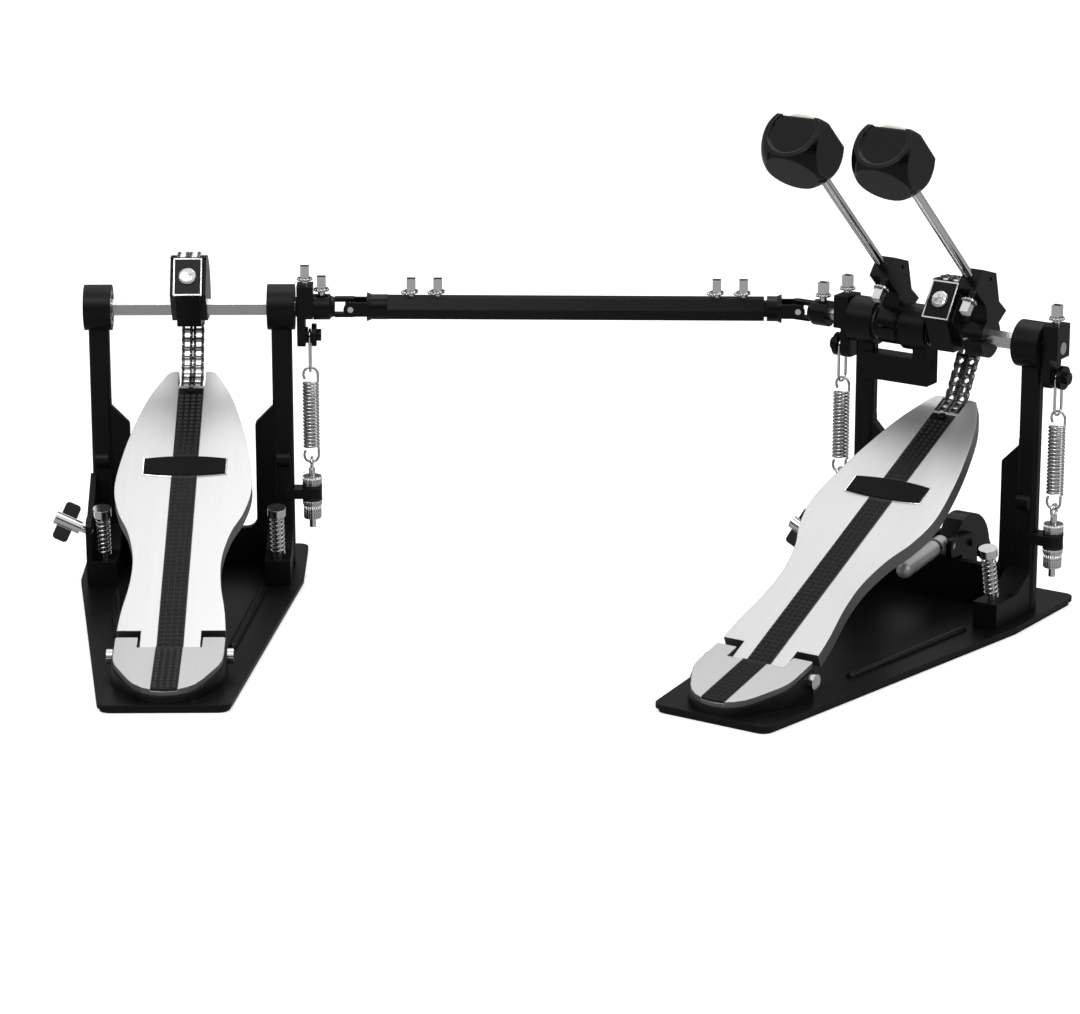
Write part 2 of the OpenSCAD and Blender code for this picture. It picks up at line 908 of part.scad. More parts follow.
// Rocker that pulls the spring, drawn for the right-hand side
rocker_in = 70.4;
rocker_w = 10.6;
rocker_half = 8.5;
rocker_low = 6.5;
rocker_high = 15;
lug_w = 5.4;
stud_r = 2;
flange_disc_r = 7.6;
module rocker() {
    color(black_metal)
        difference() {
            union() {
                translate([rocker_in, -rocker_half, axle_h - rocker_low])
                    cube([rocker_w, 2 * rocker_half, rocker_low + rocker_high]);
                side_view(rocker_in, rocker_in + lug_w)
                    translate([0, axle_h])
                        polygon(rounded([
                            [-7.5, -stud_drop - 7],
                            [7.5, -stud_drop - 7],
                            [rocker_half, 0],
                            [-rocker_half, 0]
                        ], [4, 4, 1, 1]));
                on_axle(rocker_in - 0.9)
                    cylinder(h = 2, r = 6.5);
                bar_x(rocker_in + lug_w - 0.5, spring_x + 6, stud_r, 0, axle_h - stud_drop);
                bar_x(rocker_in + lug_w - 0.5, spring_x - 1.2, 5.4, 0, axle_h - stud_drop);
                bar_x(spring_x + 1.3, spring_x + 4.4, flange_disc_r, 0, axle_h - stud_drop);
                bar_x(spring_x + 4, spring_x + 7.5, 4, 0, axle_h - stud_drop);
            }
            on_axle(rocker_in - 2)
                cylinder(h = rocker_w + 4, r = journal_r);
            translate([rocker_in + rocker_w / 2, 0, axle_h + journal_r])
                cylinder(h = 20, r = screw_shank_r);
        }
}
module rocker_screw() {
    translate([rocker_in + rocker_w / 2, 0, axle_h + rocker_high])
        key_screw(rocker_high - journal_r - 0.1, screw_neck);
}
module mirrored() {
    mirror([1, 0, 0])
        children();
}

// Axles
axle_end = rocker_in + rocker_w;
module main_axle_local() {
    start = -middle_housing_x + 1;
    color(bright_steel)
        union() {
            on_axle(start)
                cylinder(h = axle_end - start, r = journal_r);
            on_axle(-middle_housing_x + housing_l / 2 + 0.6)
                rotate([0, 0, 90])
                    hex_prism(hex_af, house_in + middle_housing_x - housing_l / 2 - 1.2);
        }
}
module side_axle_local() {
    color(bright_steel)
        union() {
            on_axle(-house_out + 1)
                cylinder(h = house_out - 1 + side_yoke_end, r = journal_r);
            on_axle(-house_in + 0.6)
                rotate([0, 0, 90])
                    hex_prism(hex_af, 2 * house_in - 1.2);
        }
}
module second_axle_local() {
    color(bright_steel)
        union() {
            on_axle(-main_yoke_end)
                cylinder(h = main_yoke_end - middle_housing_x - 1, r = journal_r);
            on_axle(-house_in + 0.6)
                rotate([0, 0, 90])
                    hex_prism(hex_af, house_in - middle_housing_x - housing_l / 2 - 1.2);
        }
}

// Inner yoke of a universal joint: ends at its cross, which lies at reach on the axle
fork_gap = 4;
fork_t = 2.4;
fork_half = 3.5;
fork_back = 10.8;
fork_base = 2.4;
fork_r = fork_gap + fork_t;
neck_l = 0.8;
yoke_body_l = 10.8;
yoke_solid = 3;
open_clear = 0.6;
yoke_start = fork_back + fork_base + neck_l + yoke_body_l;
side_yoke_end = side_reach - fork_back - yoke_solid;
main_yoke_end = main_reach - fork_back - yoke_solid;
module inner_yoke(reach) {
    back = reach - fork_back;
    body = reach - yoke_start;
    color(black_metal)
        difference() {
            union() {
                on_axle(body)
                    cylinder(h = yoke_body_l, r = yoke_r);
                on_axle(body + yoke_body_l)
                    cylinder(h = neck_l, r1 = yoke_r, r2 = fork_r + 0.8);
                on_axle(body + yoke_body_l + neck_l)
                    cylinder(h = fork_base, r1 = fork_r + 0.8, r2 = fork_r);
                for (z = [axle_h + fork_gap, axle_h - fork_gap - fork_t]) {
                    translate([back, -fork_half, z])
                        cube([fork_back, 2 * fork_half, fork_t]);
                    translate([reach, 0, z])
                        cylinder(h = fork_t, r = fork_half);
                }
            }
            on_axle(body - through)
                cylinder(h = back - yoke_solid - body + through + 0.1, r = journal_r);
            translate([reach, 0, axle_h - 2 * fork_r])
                cylinder(h = 4 * fork_r, r = cross_r + open_clear);
            translate([body + yoke_body_l / 2, 0, axle_h + journal_r])
                cylinder(h = yoke_r, r = screw_shank_r);
        }
}
module yoke_screw(reach) {
    translate([reach - yoke_start + yoke_body_l / 2, 0, axle_h + yoke_r])
        key_screw(yoke_r - journal_r - 0.1, short_neck);
}

// Cross of a universal joint at its own centre
cross_half = 3;
cross_inset = 0.2;
// Outer fork, with its cross at the origin and its body towards +X
outer_gap = 7.2;
outer_t = 2.4;
outer_half = 4.6;
outer_back = 10.5;
outer_cone = 3;
outer_r = 8.3;
module outer_fork(body_end) {
    difference() {
        union() {
            for (y = [outer_gap, -outer_gap - outer_t]) {
                translate([0, y, -outer_half])
                    cube([outer_back, outer_t, 2 * outer_half]);
                translate([0, y + outer_t, 0])
                    rotate([90, 0, 0])
                        cylinder(h = outer_t, r = outer_half);
            }
            translate([outer_back, 0, 0])
                rotate([0, 90, 0])
                    cylinder(h = outer_cone, r1 = outer_gap + outer_t, r2 = outer_r);
            translate([outer_back + outer_cone, 0, 0])
                rotate([0, 90, 0])
                    cylinder(h = body_end - outer_back - outer_cone, r = outer_r);
        }
        translate([0, 2 * outer_gap, 0])
            rotate([90, 0, 0])
                cylinder(h = 4 * outer_gap, r = cross_r + run_clear);
    }
}
module cross_shape() {
    long_half = outer_gap + outer_t - cross_inset;
    short_half = fork_gap + fork_t - cross_inset;
    color(bright_steel)
        union() {
            cube(2 * cross_half, center = true);
            rotate([90, 0, 0])
                translate([0, 0, -long_half])
                    cylinder(h = 2 * long_half, r = cross_r);
            translate([0, 0, -short_half])
                cylinder(h = 2 * short_half, r = cross_r);
        }
}
tube_bore = rod_af + 0.3;
tube_solid = 42;
rod_in = tube_len - tube_solid - 15;
tube_screw_depth = 4.5;
tube_screw_gap = 0.3;
fixed_screws = [15.5, 33];
rod_screws = [tube_len - 31, tube_len - 13.5];
module drive_tube() {
    color(black_metal)
        translate(side_joint)
            union() {
                outer_fork(tube_fork_end);
                translate([tube_fork_end, 0, 0])
                    rotate([0, 90, 0])
                        difference() {
                            hex_prism(tube_af, tube_len);
                            translate([0, 0, tube_solid])
                                hex_prism(tube_bore, tube_len);
                            for (x = fixed_screws) {
                                translate([-tube_af / 2 + tube_screw_depth + tube_screw_gap, 0, x])
                                    rotate([0, -90, 0])
                                        cylinder(h = tube_af, r = screw_shank_r);
                            }
                            for (x = rod_screws) {
                                translate([0, 0, x])
                                    rotate([0, -90, 0])
                                        cylinder(h = tube_af, r = screw_shank_r);
                            }
                        }
            }
}
module tube_screws() {
    color(bright_steel)
        translate(side_joint + [tube_fork_end, 0, tube_af / 2]) {
            for (x = fixed_screws) {
                translate([x, 0, 0])
                    key_screw(tube_screw_depth, short_neck);
            }
            for (x = rod_screws) {
                translate([x, 0, 0])
                    key_screw((tube_af - rod_af) / 2 - tube_screw_gap, short_neck);
            }
        }
}
module drive_rod() {
    color(black_metal)
        translate(main_joint)
            mirror([1, 0, 0])
                union() {
                    outer_fork(rod_fork_end);
                    translate([rod_fork_end, 0, 0])
                        rotate([0, 90, 0])
                            hex_prism(rod_af, rod_in);
                }
}

// Chain
plate_w = 0.8;
plate_gap = 0.05;
middle_gap = 0.35;
roller_r = 1.65;
pin_r = 1.1;
pin_over = 0.3;
// Where pin number i lies, across and up from the axle
function chain_spot(i) =
    let (
        a = chain_leave + max(wrap_links - i, 0) * link_angle,
        down = max(i - wrap_links, 0) * chain_pitch
    )
    [chain_r * cos(a) + down * sin(a), chain_r * sin(a) - down * cos(a)];
module at_pin(i) {
    translate([0, chain_spot(i)[0], axle_h + chain_spot(i)[1]])
        children();
}
module chain_link(i) {
    way = chain_spot(i + 1) - chain_spot(i);
    shift = i % 2 == 0 ? 0 : plate_w + plate_gap;
    low = middle_gap + shift;
    high = chain_w / 2 - plate_w - shift;
    at_pin(i)
        rotate([atan2(way[1], way[0]), 0, 0]) {
            for (x = [low, high, -low - plate_w, -high - plate_w]) {
                side_view(x, x + plate_w)
                    union() {
                        circle(r = chain_h / 2, $fn = 32);
                        translate([chain_pitch, 0])
                            circle(r = chain_h / 2, $fn = 32);
                        translate([0, -chain_h / 2 + 0.5])
                            square([chain_pitch, chain_h - 1]);
                    }
            }
            if (i % 2 == 1) {
                for (x = [low, -high - plate_w], y = [0, chain_pitch]) {
                    bar_x(x + plate_w / 2, x + high - low + plate_w / 2, roller_r, y, 0);
                }
            }
        }
}
module chain_pin(i) {
    at_pin(i)
        bar_x(-chain_w / 2 - pin_over, chain_w / 2 + pin_over, pin_r, 0, 0);
}
// Links first to last as one body; an inner link at its top turns on a pin of the strand above
module chain_strand(first, last) {
    color(bright_steel)
        difference() {
            union() {
                for (i = [first : last]) {
                    chain_link(i);
                }
                for (i = [first % 2 == 0 ? first : first + 1 : last + 1]) {
                    chain_pin(i);
                }
            }
            if (first % 2 == 1) {
                at_pin(first)
                    bar_x(-chain_w, chain_w, pin_r + run_clear, 0, 0);
            }
        }
}

// Footboard, drawn flat with its lower end at the origin and its length along +Y, then sloped
module on_board() {
    translate([0, -board_y, board_z])
        rotate([board_slope, 0, 0])
            children();
}
stretch = board_len / 261;
function board_stations(in) = [
    for (place = board_shape(in)) [place[0] * stretch, place[1]]
];
function board_shape(in) = [
    [6, foot_half - in],
    [24, foot_half - 1.5 - in],
    [50, waist_half + 0.4 - in],
    [74, waist_half - in],
    [98, waist_half + 4.5 - in],
    [118, board_half - 4 - in],
    [142, board_half - in],
    [173, board_half - 3 - in],
    [203, board_half - 8.6 - in],
    [234, toe_half + 12 - in],
    [258, toe_half + 1.4 - in]
];
slot_half = 8.9;
slot_end = board_len - 15;
tongue_half = 18.6;
barrel_half = tongue_half - 0.8;
board_barrel_r = barrel_r - 0.6;
barrel_block = 8.2;
tongue_end = 12;
groove_d = 1.2;
function board_outline(in) =
    let (side = smooth(board_stations(in), 6))
    concat(
        [for (p = side) [p[1], p[0] + (p[0] < 10 ? in : 0)]],
        [[toe_half - in, board_len - 1 - in], [toe_half - 4 - in, board_len - in]],
        [[-toe_half + 4 + in, board_len - in], [-toe_half + in, board_len - 1 - in]],
        [for (i = [len(side) - 1 : -1 : 0]) [-side[i][1], side[i][0] + (side[i][0] < 10 ? in : 0)]]
    );
module footboard_local() {
    color(brushed)
        difference() {
            union() {
                on_board() {
                    translate([0, 0, -board_wall])
                        linear_extrude(board_wall)
                            union() {
                                polygon(board_outline(0));
                                translate([-tongue_half, -tongue_end])
                                    square([2 * tongue_half, tongue_end + 8]);
                            }
                    translate([0, 0, -board_rim])
                        linear_extrude(board_rim - 1)
                            difference() {
                                polygon(board_outline(0));
                                polygon(board_outline(3));
                            }
                    translate([-slot_half - 3, slot_end - 6, -board_rim])
                        cube([2 * slot_half + 6, 5, board_rim - 1]);
                }
                side_view(-barrel_half, barrel_half)
                    union() {
                        translate([-hinge_y, hinge_z])
                            circle(r = board_barrel_r);
                        translate([-hinge_y - barrel_block / 2, hinge_z])
                            square([barrel_block, board_barrel_r - 0.6]);
                    }
            }
            bar_x(-heel_half, heel_half, hinge_r + run_clear, -hinge_y, hinge_z);
            on_board() {
                translate([-slot_half, slot_end, -board_rim - through])
                    cube([2 * slot_half, board_len, board_rim + 2 * through]);
                translate([-tread_w / 2, -tongue_end - through, -groove_d])
                    cube([tread_w, slot_end + tongue_end - 2, 10]);
                translate([0, badge_at, -groove_d])
                    linear_extrude(10)
                        polygon(badge_outline(0));
            }
        }
}
badge_at = 163 * stretch;
badge_half = 26.5;
function badge_outline(in) =
    let (
        high = 7.3 - in,
        rise = 2.3,
        half = badge_half - in,
        r = (half * half + rise * rise) / (2 * rise),
        a = asin(half / r)
    )
    concat(
        arc([0, high + rise - r], r, 90 - a, 90 + a, 10),
        arc([0, -high - rise + r], r, 270 - a, 270 + a, 10)
    );
tread_clear = 0.1;
tread_up = 0.6;
module tread_local() {
    w = tread_w - 2 * tread_clear;
    color(black_rubber) {
        on_board() {
            translate([-w / 2, -tongue_end, -groove_d])
                cube([w, slot_end + tongue_end - 3.2, groove_d + tread_up]);
            translate([0, badge_at, -groove_d])
                linear_extrude(groove_d + tread_up + 0.4)
                    polygon(badge_outline(tread_clear));
        }
    }
}
module heel_tread() {
    w = tread_w - 2 * tread_clear;
    color(black_rubber)
        intersection() {
            rotate_to_heel()
                translate([-w / 2, -80, -groove_d])
                    cube([w, 100, groove_d + tread_up]);
            translate([0, 0, base_top])
                linear_extrude(heel_cut_h)
                    polygon(heel_outline(1.4));
        }
}

// Wire that is wound or bent: one tube along a line of points
tube_sides = 6;
function unit_of(v) = v / norm(v);
function headings(p) = [for (i = [0 : len(p) - 1]) unit_of(p[min(i + 1, len(p) - 1)] - p[max(i - 1, 0)])];
function carried(n, t) = unit_of(n - (n * t) * t);
function sides_of(t, n0) =
    [for (i = 0, n = carried(n0, t[0]); i < len(t); i = i + 1, n = i < len(t) ? carried(n, t[i]) : n) n];
module tube(p, r) {
    m = tube_sides;
    t = headings(p);
    n = sides_of(t, [1, 0, 0.1]);
    last = (len(p) - 1) * m;
    points = [for (i = [0 : len(p) - 1], k = [0 : m - 1])
        p[i] + r * (cos(360 * k / m) * n[i] + sin(360 * k / m) * cross(t[i], n[i]))];
    walls = [for (i = [0 : len(p) - 2], k = [0 : m - 1])
        let (a = i * m + k, b = i * m + (k + 1) % m)
        each [[a, a + m, b + m], [a, b + m, b]]];
    start_cap = [for (k = [1 : m - 2]) [0, k, k + 1]];
    end_cap = [for (k = [1 : m - 2]) [last, last + k + 1, last + k]];
    polyhedron(points = points, faces = concat(walls, start_cap, end_cap));
}
// Least gap of a wound wire to itself, leaving out the next few points of its own line
near_points = 5;
function least_gap(p, r) =
    let (last = len(p) - 1)
    min([for (i = [0 : last - near_points], j = [i + near_points : last]) norm(p[i] - p[j])]) - 2 * r;
curl_rings = 8;
// One point on a coil of radius r, i rings on from its start
function on_curl(r, i, z) = [r * cos(360 * i / curl_rings), r * sin(360 * i / curl_rings), z];
hook_bend = 1.2;
hook_lift = 3.5;
hook_angle = 200;
hook_gap = 0.35;
// How far a hook stands off the middle of the loop that holds it
function seat_in_loop(r, wire) = sqrt(pow(r - wire - coil_wire - hook_gap, 2) - hook_bend * hook_bend);
coil_z = eye_z + seat_in_loop(eye_r, eye_wire);
function hook() = concat(
    [for (a = [30 : 30 : 90]) [coil_r, hook_bend * sin(a), hook_bend * (1 - cos(a))]],
    [for (b = [0 : 25 : hook_angle]) [coil_r * cos(b), hook_bend, hook_bend + hook_lift + coil_r * sin(b)]],
    [[coil_r * cos(hook_angle) - 2 * coil_wire * sin(hook_angle), hook_bend,
        hook_bend + hook_lift + coil_r * sin(hook_angle) + 2 * coil_wire * cos(hook_angle)]]
);
hook_h = hook_bend + hook_lift + coil_r;
function coil_path() =
    let (top = hook(), k = len(top), n = curl_rings * coil_turns)
    concat(
        [for (i = [k - 1 : -1 : 0]) [top[i][0], -top[i][1], hook_h - top[i][2]]],
        [for (i = [0 : n]) on_curl(coil_r, i, hook_h + coil_len * i / n)],
        [for (q = top) q + [0, 0, hook_h + coil_len]]
    );
spring_top = coil_z + 2 * hook_h + coil_len;
module pull_spring(x) {
    color(bright_steel)
        translate([x, 0, coil_z])
            tube(coil_path(), coil_wire);
}
echo(least_gap_of_pull_spring = least_gap(coil_path(), coil_wire));
spur_coil_r = 4.3;
spur_coil_low = 25.2;
spur_coil_gap = 0.6;
spur_coil_len = spur_top - spur_coil_low - spur_coil_gap - 4 * spur_wire;
function spur_path() =
    let (n = curl_rings * spur_turns, tail = 2 * spur_wire)
    concat(
        [[spur_coil_r, 0, 0]],
        [for (i = [0 : n]) on_curl(spur_coil_r, i, tail + spur_coil_len * i / n)],
        [[spur_coil_r, 0, spur_coil_len + 2 * tail]]
    );
module spur_springs() {
    color(bright_steel)
        for (side = [-1, 1]) {
            spur_axis(side)
                translate([0, 0, spur_coil_low])
                    tube(spur_path(), spur_wire);
        }
}
echo(least_gap_of_spur_spring = least_gap(spur_path(), spur_wire));

// Wire loop between a spring's upper loop and its roller
link_wire = 0.8;
link_lap = 0.2;
link_collar = 0.15;
link_r = 3.8 + link_wire;
link_top_z = axle_h - stud_drop - 0.9;
link_low_z = spring_top + seat_in_loop(link_r, link_wire);
module half_ring(r, low) {
    intersection() {
        rotate([0, 90, 0])
            rotate_extrude()
                translate([r, 0])
                    circle(r = link_wire, $fn = 24);
        translate([-5, -10, low ? -10 : 0])
            cube([10, 20, 10]);
    }
}
module spring_link(x) {
    color(bright_steel) {
        translate([x, 0, link_top_z])
            half_ring(link_r, false);
        translate([x, 0, link_low_z])
            half_ring(link_r, true);
        for (side = [-1, 1]) {
            translate([x, side * link_r, link_low_z - link_lap])
                cylinder(h = link_top_z - link_low_z + 2 * link_lap, r = link_wire + link_collar);
        }
    }
}

// Hoop clamp at the drum edge of the main pedal
seat_ear = 4;
seat_in = jaw_w / 2 + 0.4;
seat_out = seat_in + seat_ear;
clamp_pin_r = 2.5;
lever_pin_r = 2.2;
clamp_screw_r = 2.5;
lever_y = clamp_y - 22;
lever_z = clamp_z + 3;
jaw_tip = [clamp_y + 35, base_top + mouth_h];
module clamp_cheeks() {
    for (side = [-1, 1]) {
        side_view(side > 0 ? seat_in : -seat_out, side > 0 ? seat_out : -seat_in)
            polygon(rounded([
                [clamp_y - 12, base_top],
                [clamp_y + 12, base_top],
                [clamp_y + 7, clamp_z + 6],
                [lever_y - 5, lever_z + 5],
                [lever_y - 5, web_h + 2],
                [clamp_y - 12, web_h + 2]
            ], [0.5, 0.5, 5, 4, 3, 1]));
    }
    translate([-seat_out, clamp_y - 12, base_top])
        cube([2 * seat_out, 24, 12]);
    bar_x(-seat_out - 2, seat_out + 2, clamp_pin_r, clamp_y, clamp_z);
}
module clamp_holes() {
    bar_x(0, seat_out + through, clamp_screw_r, clamp_y - 2, base_top + 7);
    bar_x(-seat_out - through, seat_out + through, lever_pin_r + run_clear, lever_y, lever_z);
}
module clamp_jaw_local() {
    tip = jaw_tip;
    color(black_metal)
        difference() {
            side_view(-jaw_w / 2, jaw_w / 2)
                polygon(concat(
                    [[clamp_y - 13, clamp_z + 4], [clamp_y - 8, clamp_z - 4], [clamp_y + 8, clamp_z - 6]],
                    [[tip[0] - 12, tip[1] + 9], tip - [9, 0], tip + [3, 0], tip + [3, 5]],
                    arc([clamp_y + 6, clamp_z - 12], 29, 10, 110, 12)
                ));
            bar_x(-jaw_w, jaw_w, clamp_pin_r + run_clear, clamp_y, clamp_z);
        }
}
lever_r = 5.4;
lever_droop = 7;
// Round bar with rounded ends, from one end's middle at the origin down along Z
module rounded_bar(h, r) {
    rotate_extrude()
        polygon(concat([[0, r]], arc([0, 0], r, 84, 0, 12), arc([0, -h], r, 0, -84, 12), [[0, -h - r]]));
}
module clamp_lever_local() {
    color(grey_lever)
        union() {
            translate([0, lever_y, lever_z])
                rotate([-90 + lever_droop, 0, 0])
                    rounded_bar(lever_len - 12, lever_r);
            bar_x(-seat_out + 0.5, seat_out - 0.5, lever_pin_r, lever_y, lever_z);
        }
}
module clamp_screw() {
    z = base_top + 7;
    bar_x(through, seat_out + 10, clamp_screw_r, clamp_y - 2, z);
    bar_x(seat_out + 4, seat_out + 14, 4, clamp_y - 2, z);
}

module main_bearings_local() {
    outer_bearings();
    middle_bearings();
}
module main_bolts_local() {
    frame_bolts([-1, 1]);
    color(bright_steel)
        clamp_screw();
}
module main_fittings_local() {
    color(bright_steel) {
        cam_plate();
        hub_screw(main_hub_x);
        rocker_screw();
    }
}
module side_fittings_local() {
    color(bright_steel) {
        cam_plate();
        rocker_screw();
        yoke_screw(side_reach);
    }
}
module second_screws_local() {
    color(bright_steel) {
        hub_screw(-second_hub_x);
        mirrored()
            union() {
                rocker_screw();
                yoke_screw(main_reach);
            }
    }
}

at_main() base_plate();  // main_base_plate
at_main() rubbers([-1, 1]);  // main_rubbers
at_main() main_frame_local();  // main_frame
at_main() main_bearings_local();  // main_bearings
at_main() heel_plate();  // main_heel_plate
at_main() main_bolts_local();  // main_bolts
at_main() spur_springs();  // main_spur_springs
at_main() wing_screw();  // main_wing_screw
at_main() clamp_jaw_local();  // clamp_jaw
at_main() clamp_lever_local();  // clamp_lever
at_main() main_axle_local();  // main_axle
at_main() cam();  // main_cam
at_main() main_fittings_local();  // main_fittings
at_main() hub(main_hub_x);  // main_hub
at_main() beater_rod(main_hub_x);  // main_beater_rod
at_main() beater_head(main_hub_x);  // main_beater_head
at_main() beater_felt(main_hub_x);  // main_beater_felt
at_main() rocker();  // main_rocker
at_main() chain_strand(0, bend_first - 1);  // main_chain_wrap
at_main() footboard_local();  // main_footboard
at_main() tread_local();  // main_tread
at_main() chain_strand(bend_first, drop_first - 1);  // main_chain_bend
at_main() chain_strand(drop_first, all_links - 1);  // main_chain_drop
at_main() pull_spring(spring_x);  // main_spring
at_main() spring_link(spring_x);  // main_spring_link
at_main() second_axle_local();  // second_axle
at_main() hub(-second_hub_x);  // second_hub
at_main() beater_rod(-second_hub_x);  // second_beater_rod
at_main() beater_head(-second_hub_x);  // second_beater_head
at_main() beater_felt(-second_hub_x);  // second_beater_felt
at_main() mirrored() rocker();  // second_rocker
at_main() second_screws_local();  // second_screws
at_main() mirrored() inner_yoke(main_reach);  // second_yoke
at_main() pull_spring(-spring_x);  // second_spring
at_main() spring_link(-spring_x);  // second_spring_link
translate(main_joint) cross_shape();  // cross_right
drive_rod();
drive_tube();
tube_screws();
translate(side_joint) cross_shape();  // cross_left
at_side() base_plate();  // side_base_plate
at_side() rubbers([1]);  // side_rubbers
at_side() side_frame_local();  // side_frame
at_side() outer_bearings();  // side_bearings
at_side() heel_plate();  // side_heel_plate
at_side() frame_bolts([1]);  // side_bolts
at_side() spur_springs();  // side_spur_springs
at_side() wing_screw();  // side_wing_screw
at_side() side_axle_local();  // side_axle
at_side() cam();  // side_cam
at_side() side_fittings_local();  // side_fittings
at_side() rocker();  // side_rocker
at_side() chain_strand(0, bend_first - 1);  // side_chain_wrap
at_side() inner_yoke(side_reach);  // side_yoke
at_side() footboard_local();  // side_footboard
at_side() tread_local();  // side_tread
at_side() chain_strand(bend_first, drop_first - 1);  // side_chain_bend
at_side() chain_strand(drop_first, all_links - 1);  // side_chain_drop
at_side() pull_spring(spring_x);  // side_spring
at_side() spring_link(spring_x);  // side_spring_link
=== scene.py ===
# %% [markdown]
# # A double bass drum pedal
# Two pedals stand on black steel plates. The main pedal, on the right, carries two beaters, and the
# side pedal drives the second one through a telescopic shaft with two universal joints. The packed
# solids give every shape its place. This lesson dresses them: it makes the finishes as shader trees,
# and adds the small repeated work, such as grip pyramids, knurling and wound springs.

import json
import math

import bpy
import bmesh
from mathutils import Matrix, Vector

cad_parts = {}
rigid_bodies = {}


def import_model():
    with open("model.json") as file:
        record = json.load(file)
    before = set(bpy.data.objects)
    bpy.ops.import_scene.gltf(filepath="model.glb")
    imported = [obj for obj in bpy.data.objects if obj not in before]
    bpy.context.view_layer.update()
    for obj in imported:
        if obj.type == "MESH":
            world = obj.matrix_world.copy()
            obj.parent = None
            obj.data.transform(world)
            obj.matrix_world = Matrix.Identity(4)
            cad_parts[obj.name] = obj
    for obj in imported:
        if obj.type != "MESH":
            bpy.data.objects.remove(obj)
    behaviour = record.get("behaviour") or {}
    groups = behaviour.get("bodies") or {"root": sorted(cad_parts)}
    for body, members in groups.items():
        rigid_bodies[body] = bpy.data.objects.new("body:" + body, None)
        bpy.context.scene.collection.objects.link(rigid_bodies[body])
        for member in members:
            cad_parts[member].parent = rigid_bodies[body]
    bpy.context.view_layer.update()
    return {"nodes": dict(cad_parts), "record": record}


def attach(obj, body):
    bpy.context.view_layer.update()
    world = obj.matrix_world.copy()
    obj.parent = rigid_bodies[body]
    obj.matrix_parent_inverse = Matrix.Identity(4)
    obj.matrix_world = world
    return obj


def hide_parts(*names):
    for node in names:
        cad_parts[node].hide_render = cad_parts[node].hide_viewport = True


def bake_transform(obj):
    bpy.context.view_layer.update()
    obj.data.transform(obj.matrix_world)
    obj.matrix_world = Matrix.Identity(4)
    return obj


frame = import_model()

# %% [markdown]
# Each pedal was drawn in its own frame: X along the axle, Y from the heel to the drum, Z up. Two
# matrices bring a point of a pedal to its place, so a piece is written once and used for both.

# %% Where the two pedals stand
MM = 0.001
AXLE_HEIGHT = 181.5 * MM
MAIN_TURN = math.radians(-32.5)
SIDE_TURN = math.radians(2)
SIDE_PLACE = Vector((-494.2387, 57.0155, 0)) * MM
PLACE = {
    "main": Matrix.Rotation(MAIN_TURN, 4, "Z"),
    "side": Matrix.Translation(SIDE_PLACE) @ Matrix.Rotation(SIDE_TURN, 4, "Z"),
}
TURN = {"main": MAIN_TURN, "side": SIDE_TURN}
BOARD_SLOPE = math.radians(24.4)
BOARD_FOOT = Vector((0, -226, 27)) * MM
HEEL_SLOPE = math.radians(12)
HEEL_TOP = Vector((0, -232, 26.25)) * MM
BEATER_LEAN = math.radians(48)


def sloped(pedal, spot, slope):
    """The frame of a sloping face of one pedal: Y runs up the face and Z stands on it."""
    return PLACE[pedal] @ Matrix.Translation(spot) @ Matrix.Rotation(slope, 4, "X")


print("side pedal at", [round(v, 4) for v in SIDE_PLACE])

# %% [markdown]
# Shader maths reads best as formulas. A `Wire` holds one output of a node, and Python's operators on
# it add Math nodes. A `Finish` is one material, and its `node` method adds any other node.


# %% Shader formulas
class Finish:
    """One material and its node tree."""

    def __init__(self, name):
        self.material = bpy.data.materials.new(name)
        self.material.use_nodes = True
        self.tree = self.material.node_tree
        self.shader = self.tree.nodes["Principled BSDF"]

    def node(self, kind, settings=None, sockets=None, out=0):
        """Adds a node, sets it up, fills or links its sockets and returns one output."""
        made = self.tree.nodes.new(kind)
        for name, value in (settings or {}).items():
            if name == "stops":
                ramp = made.color_ramp.elements
                while len(ramp) < len(value):
                    ramp.new(0.5)
                for stop, (place, colour) in zip(ramp, value):
                    stop.position, stop.color = place, colour
            else:
                setattr(made, name, value)
        for key, value in (sockets or {}).items():
            if isinstance(value, Wire):
                self.tree.links.new(value.socket, made.inputs[key])
            else:
                made.inputs[key].default_value = value
        return Wire(self, made.outputs[out])

    def set(self, **values):
        """Sets the shader's own sockets, by a constant or by a link."""
        for name, value in values.items():
            socket = self.shader.inputs[name.replace("_", " ")]
            if isinstance(value, Wire):
                self.tree.links.new(value.socket, socket)
            else:
                socket.default_value = value

    def mix(self, factor, low, high):
        """Blends two colours."""
        return self.node("ShaderNodeMix", {"data_type": "RGBA"}, {0: factor, 6: low, 7: high}, 2)

    def noise(self, where, scale, detail=2.0, roughness=0.5):
        sockets = {"Vector": where, "Scale": scale, "Detail": detail, "Roughness": roughness}
        return self.node("ShaderNodeTexNoise", None, sockets)

    def step(self, value, low, high):
        """Goes from 0 at low to 1 at high."""
        return self.node("ShaderNodeMapRange", None, {0: value, 1: low, 2: high})


print("a finish can add", [name for name in vars(Finish) if not name.startswith("_")])

# %% [markdown]
# With the operators below, `1 - mask` and `grain * 0.5 + cloud` read like school algebra. Each one
# adds a Math node. The reflected forms let a plain number stand on the left.


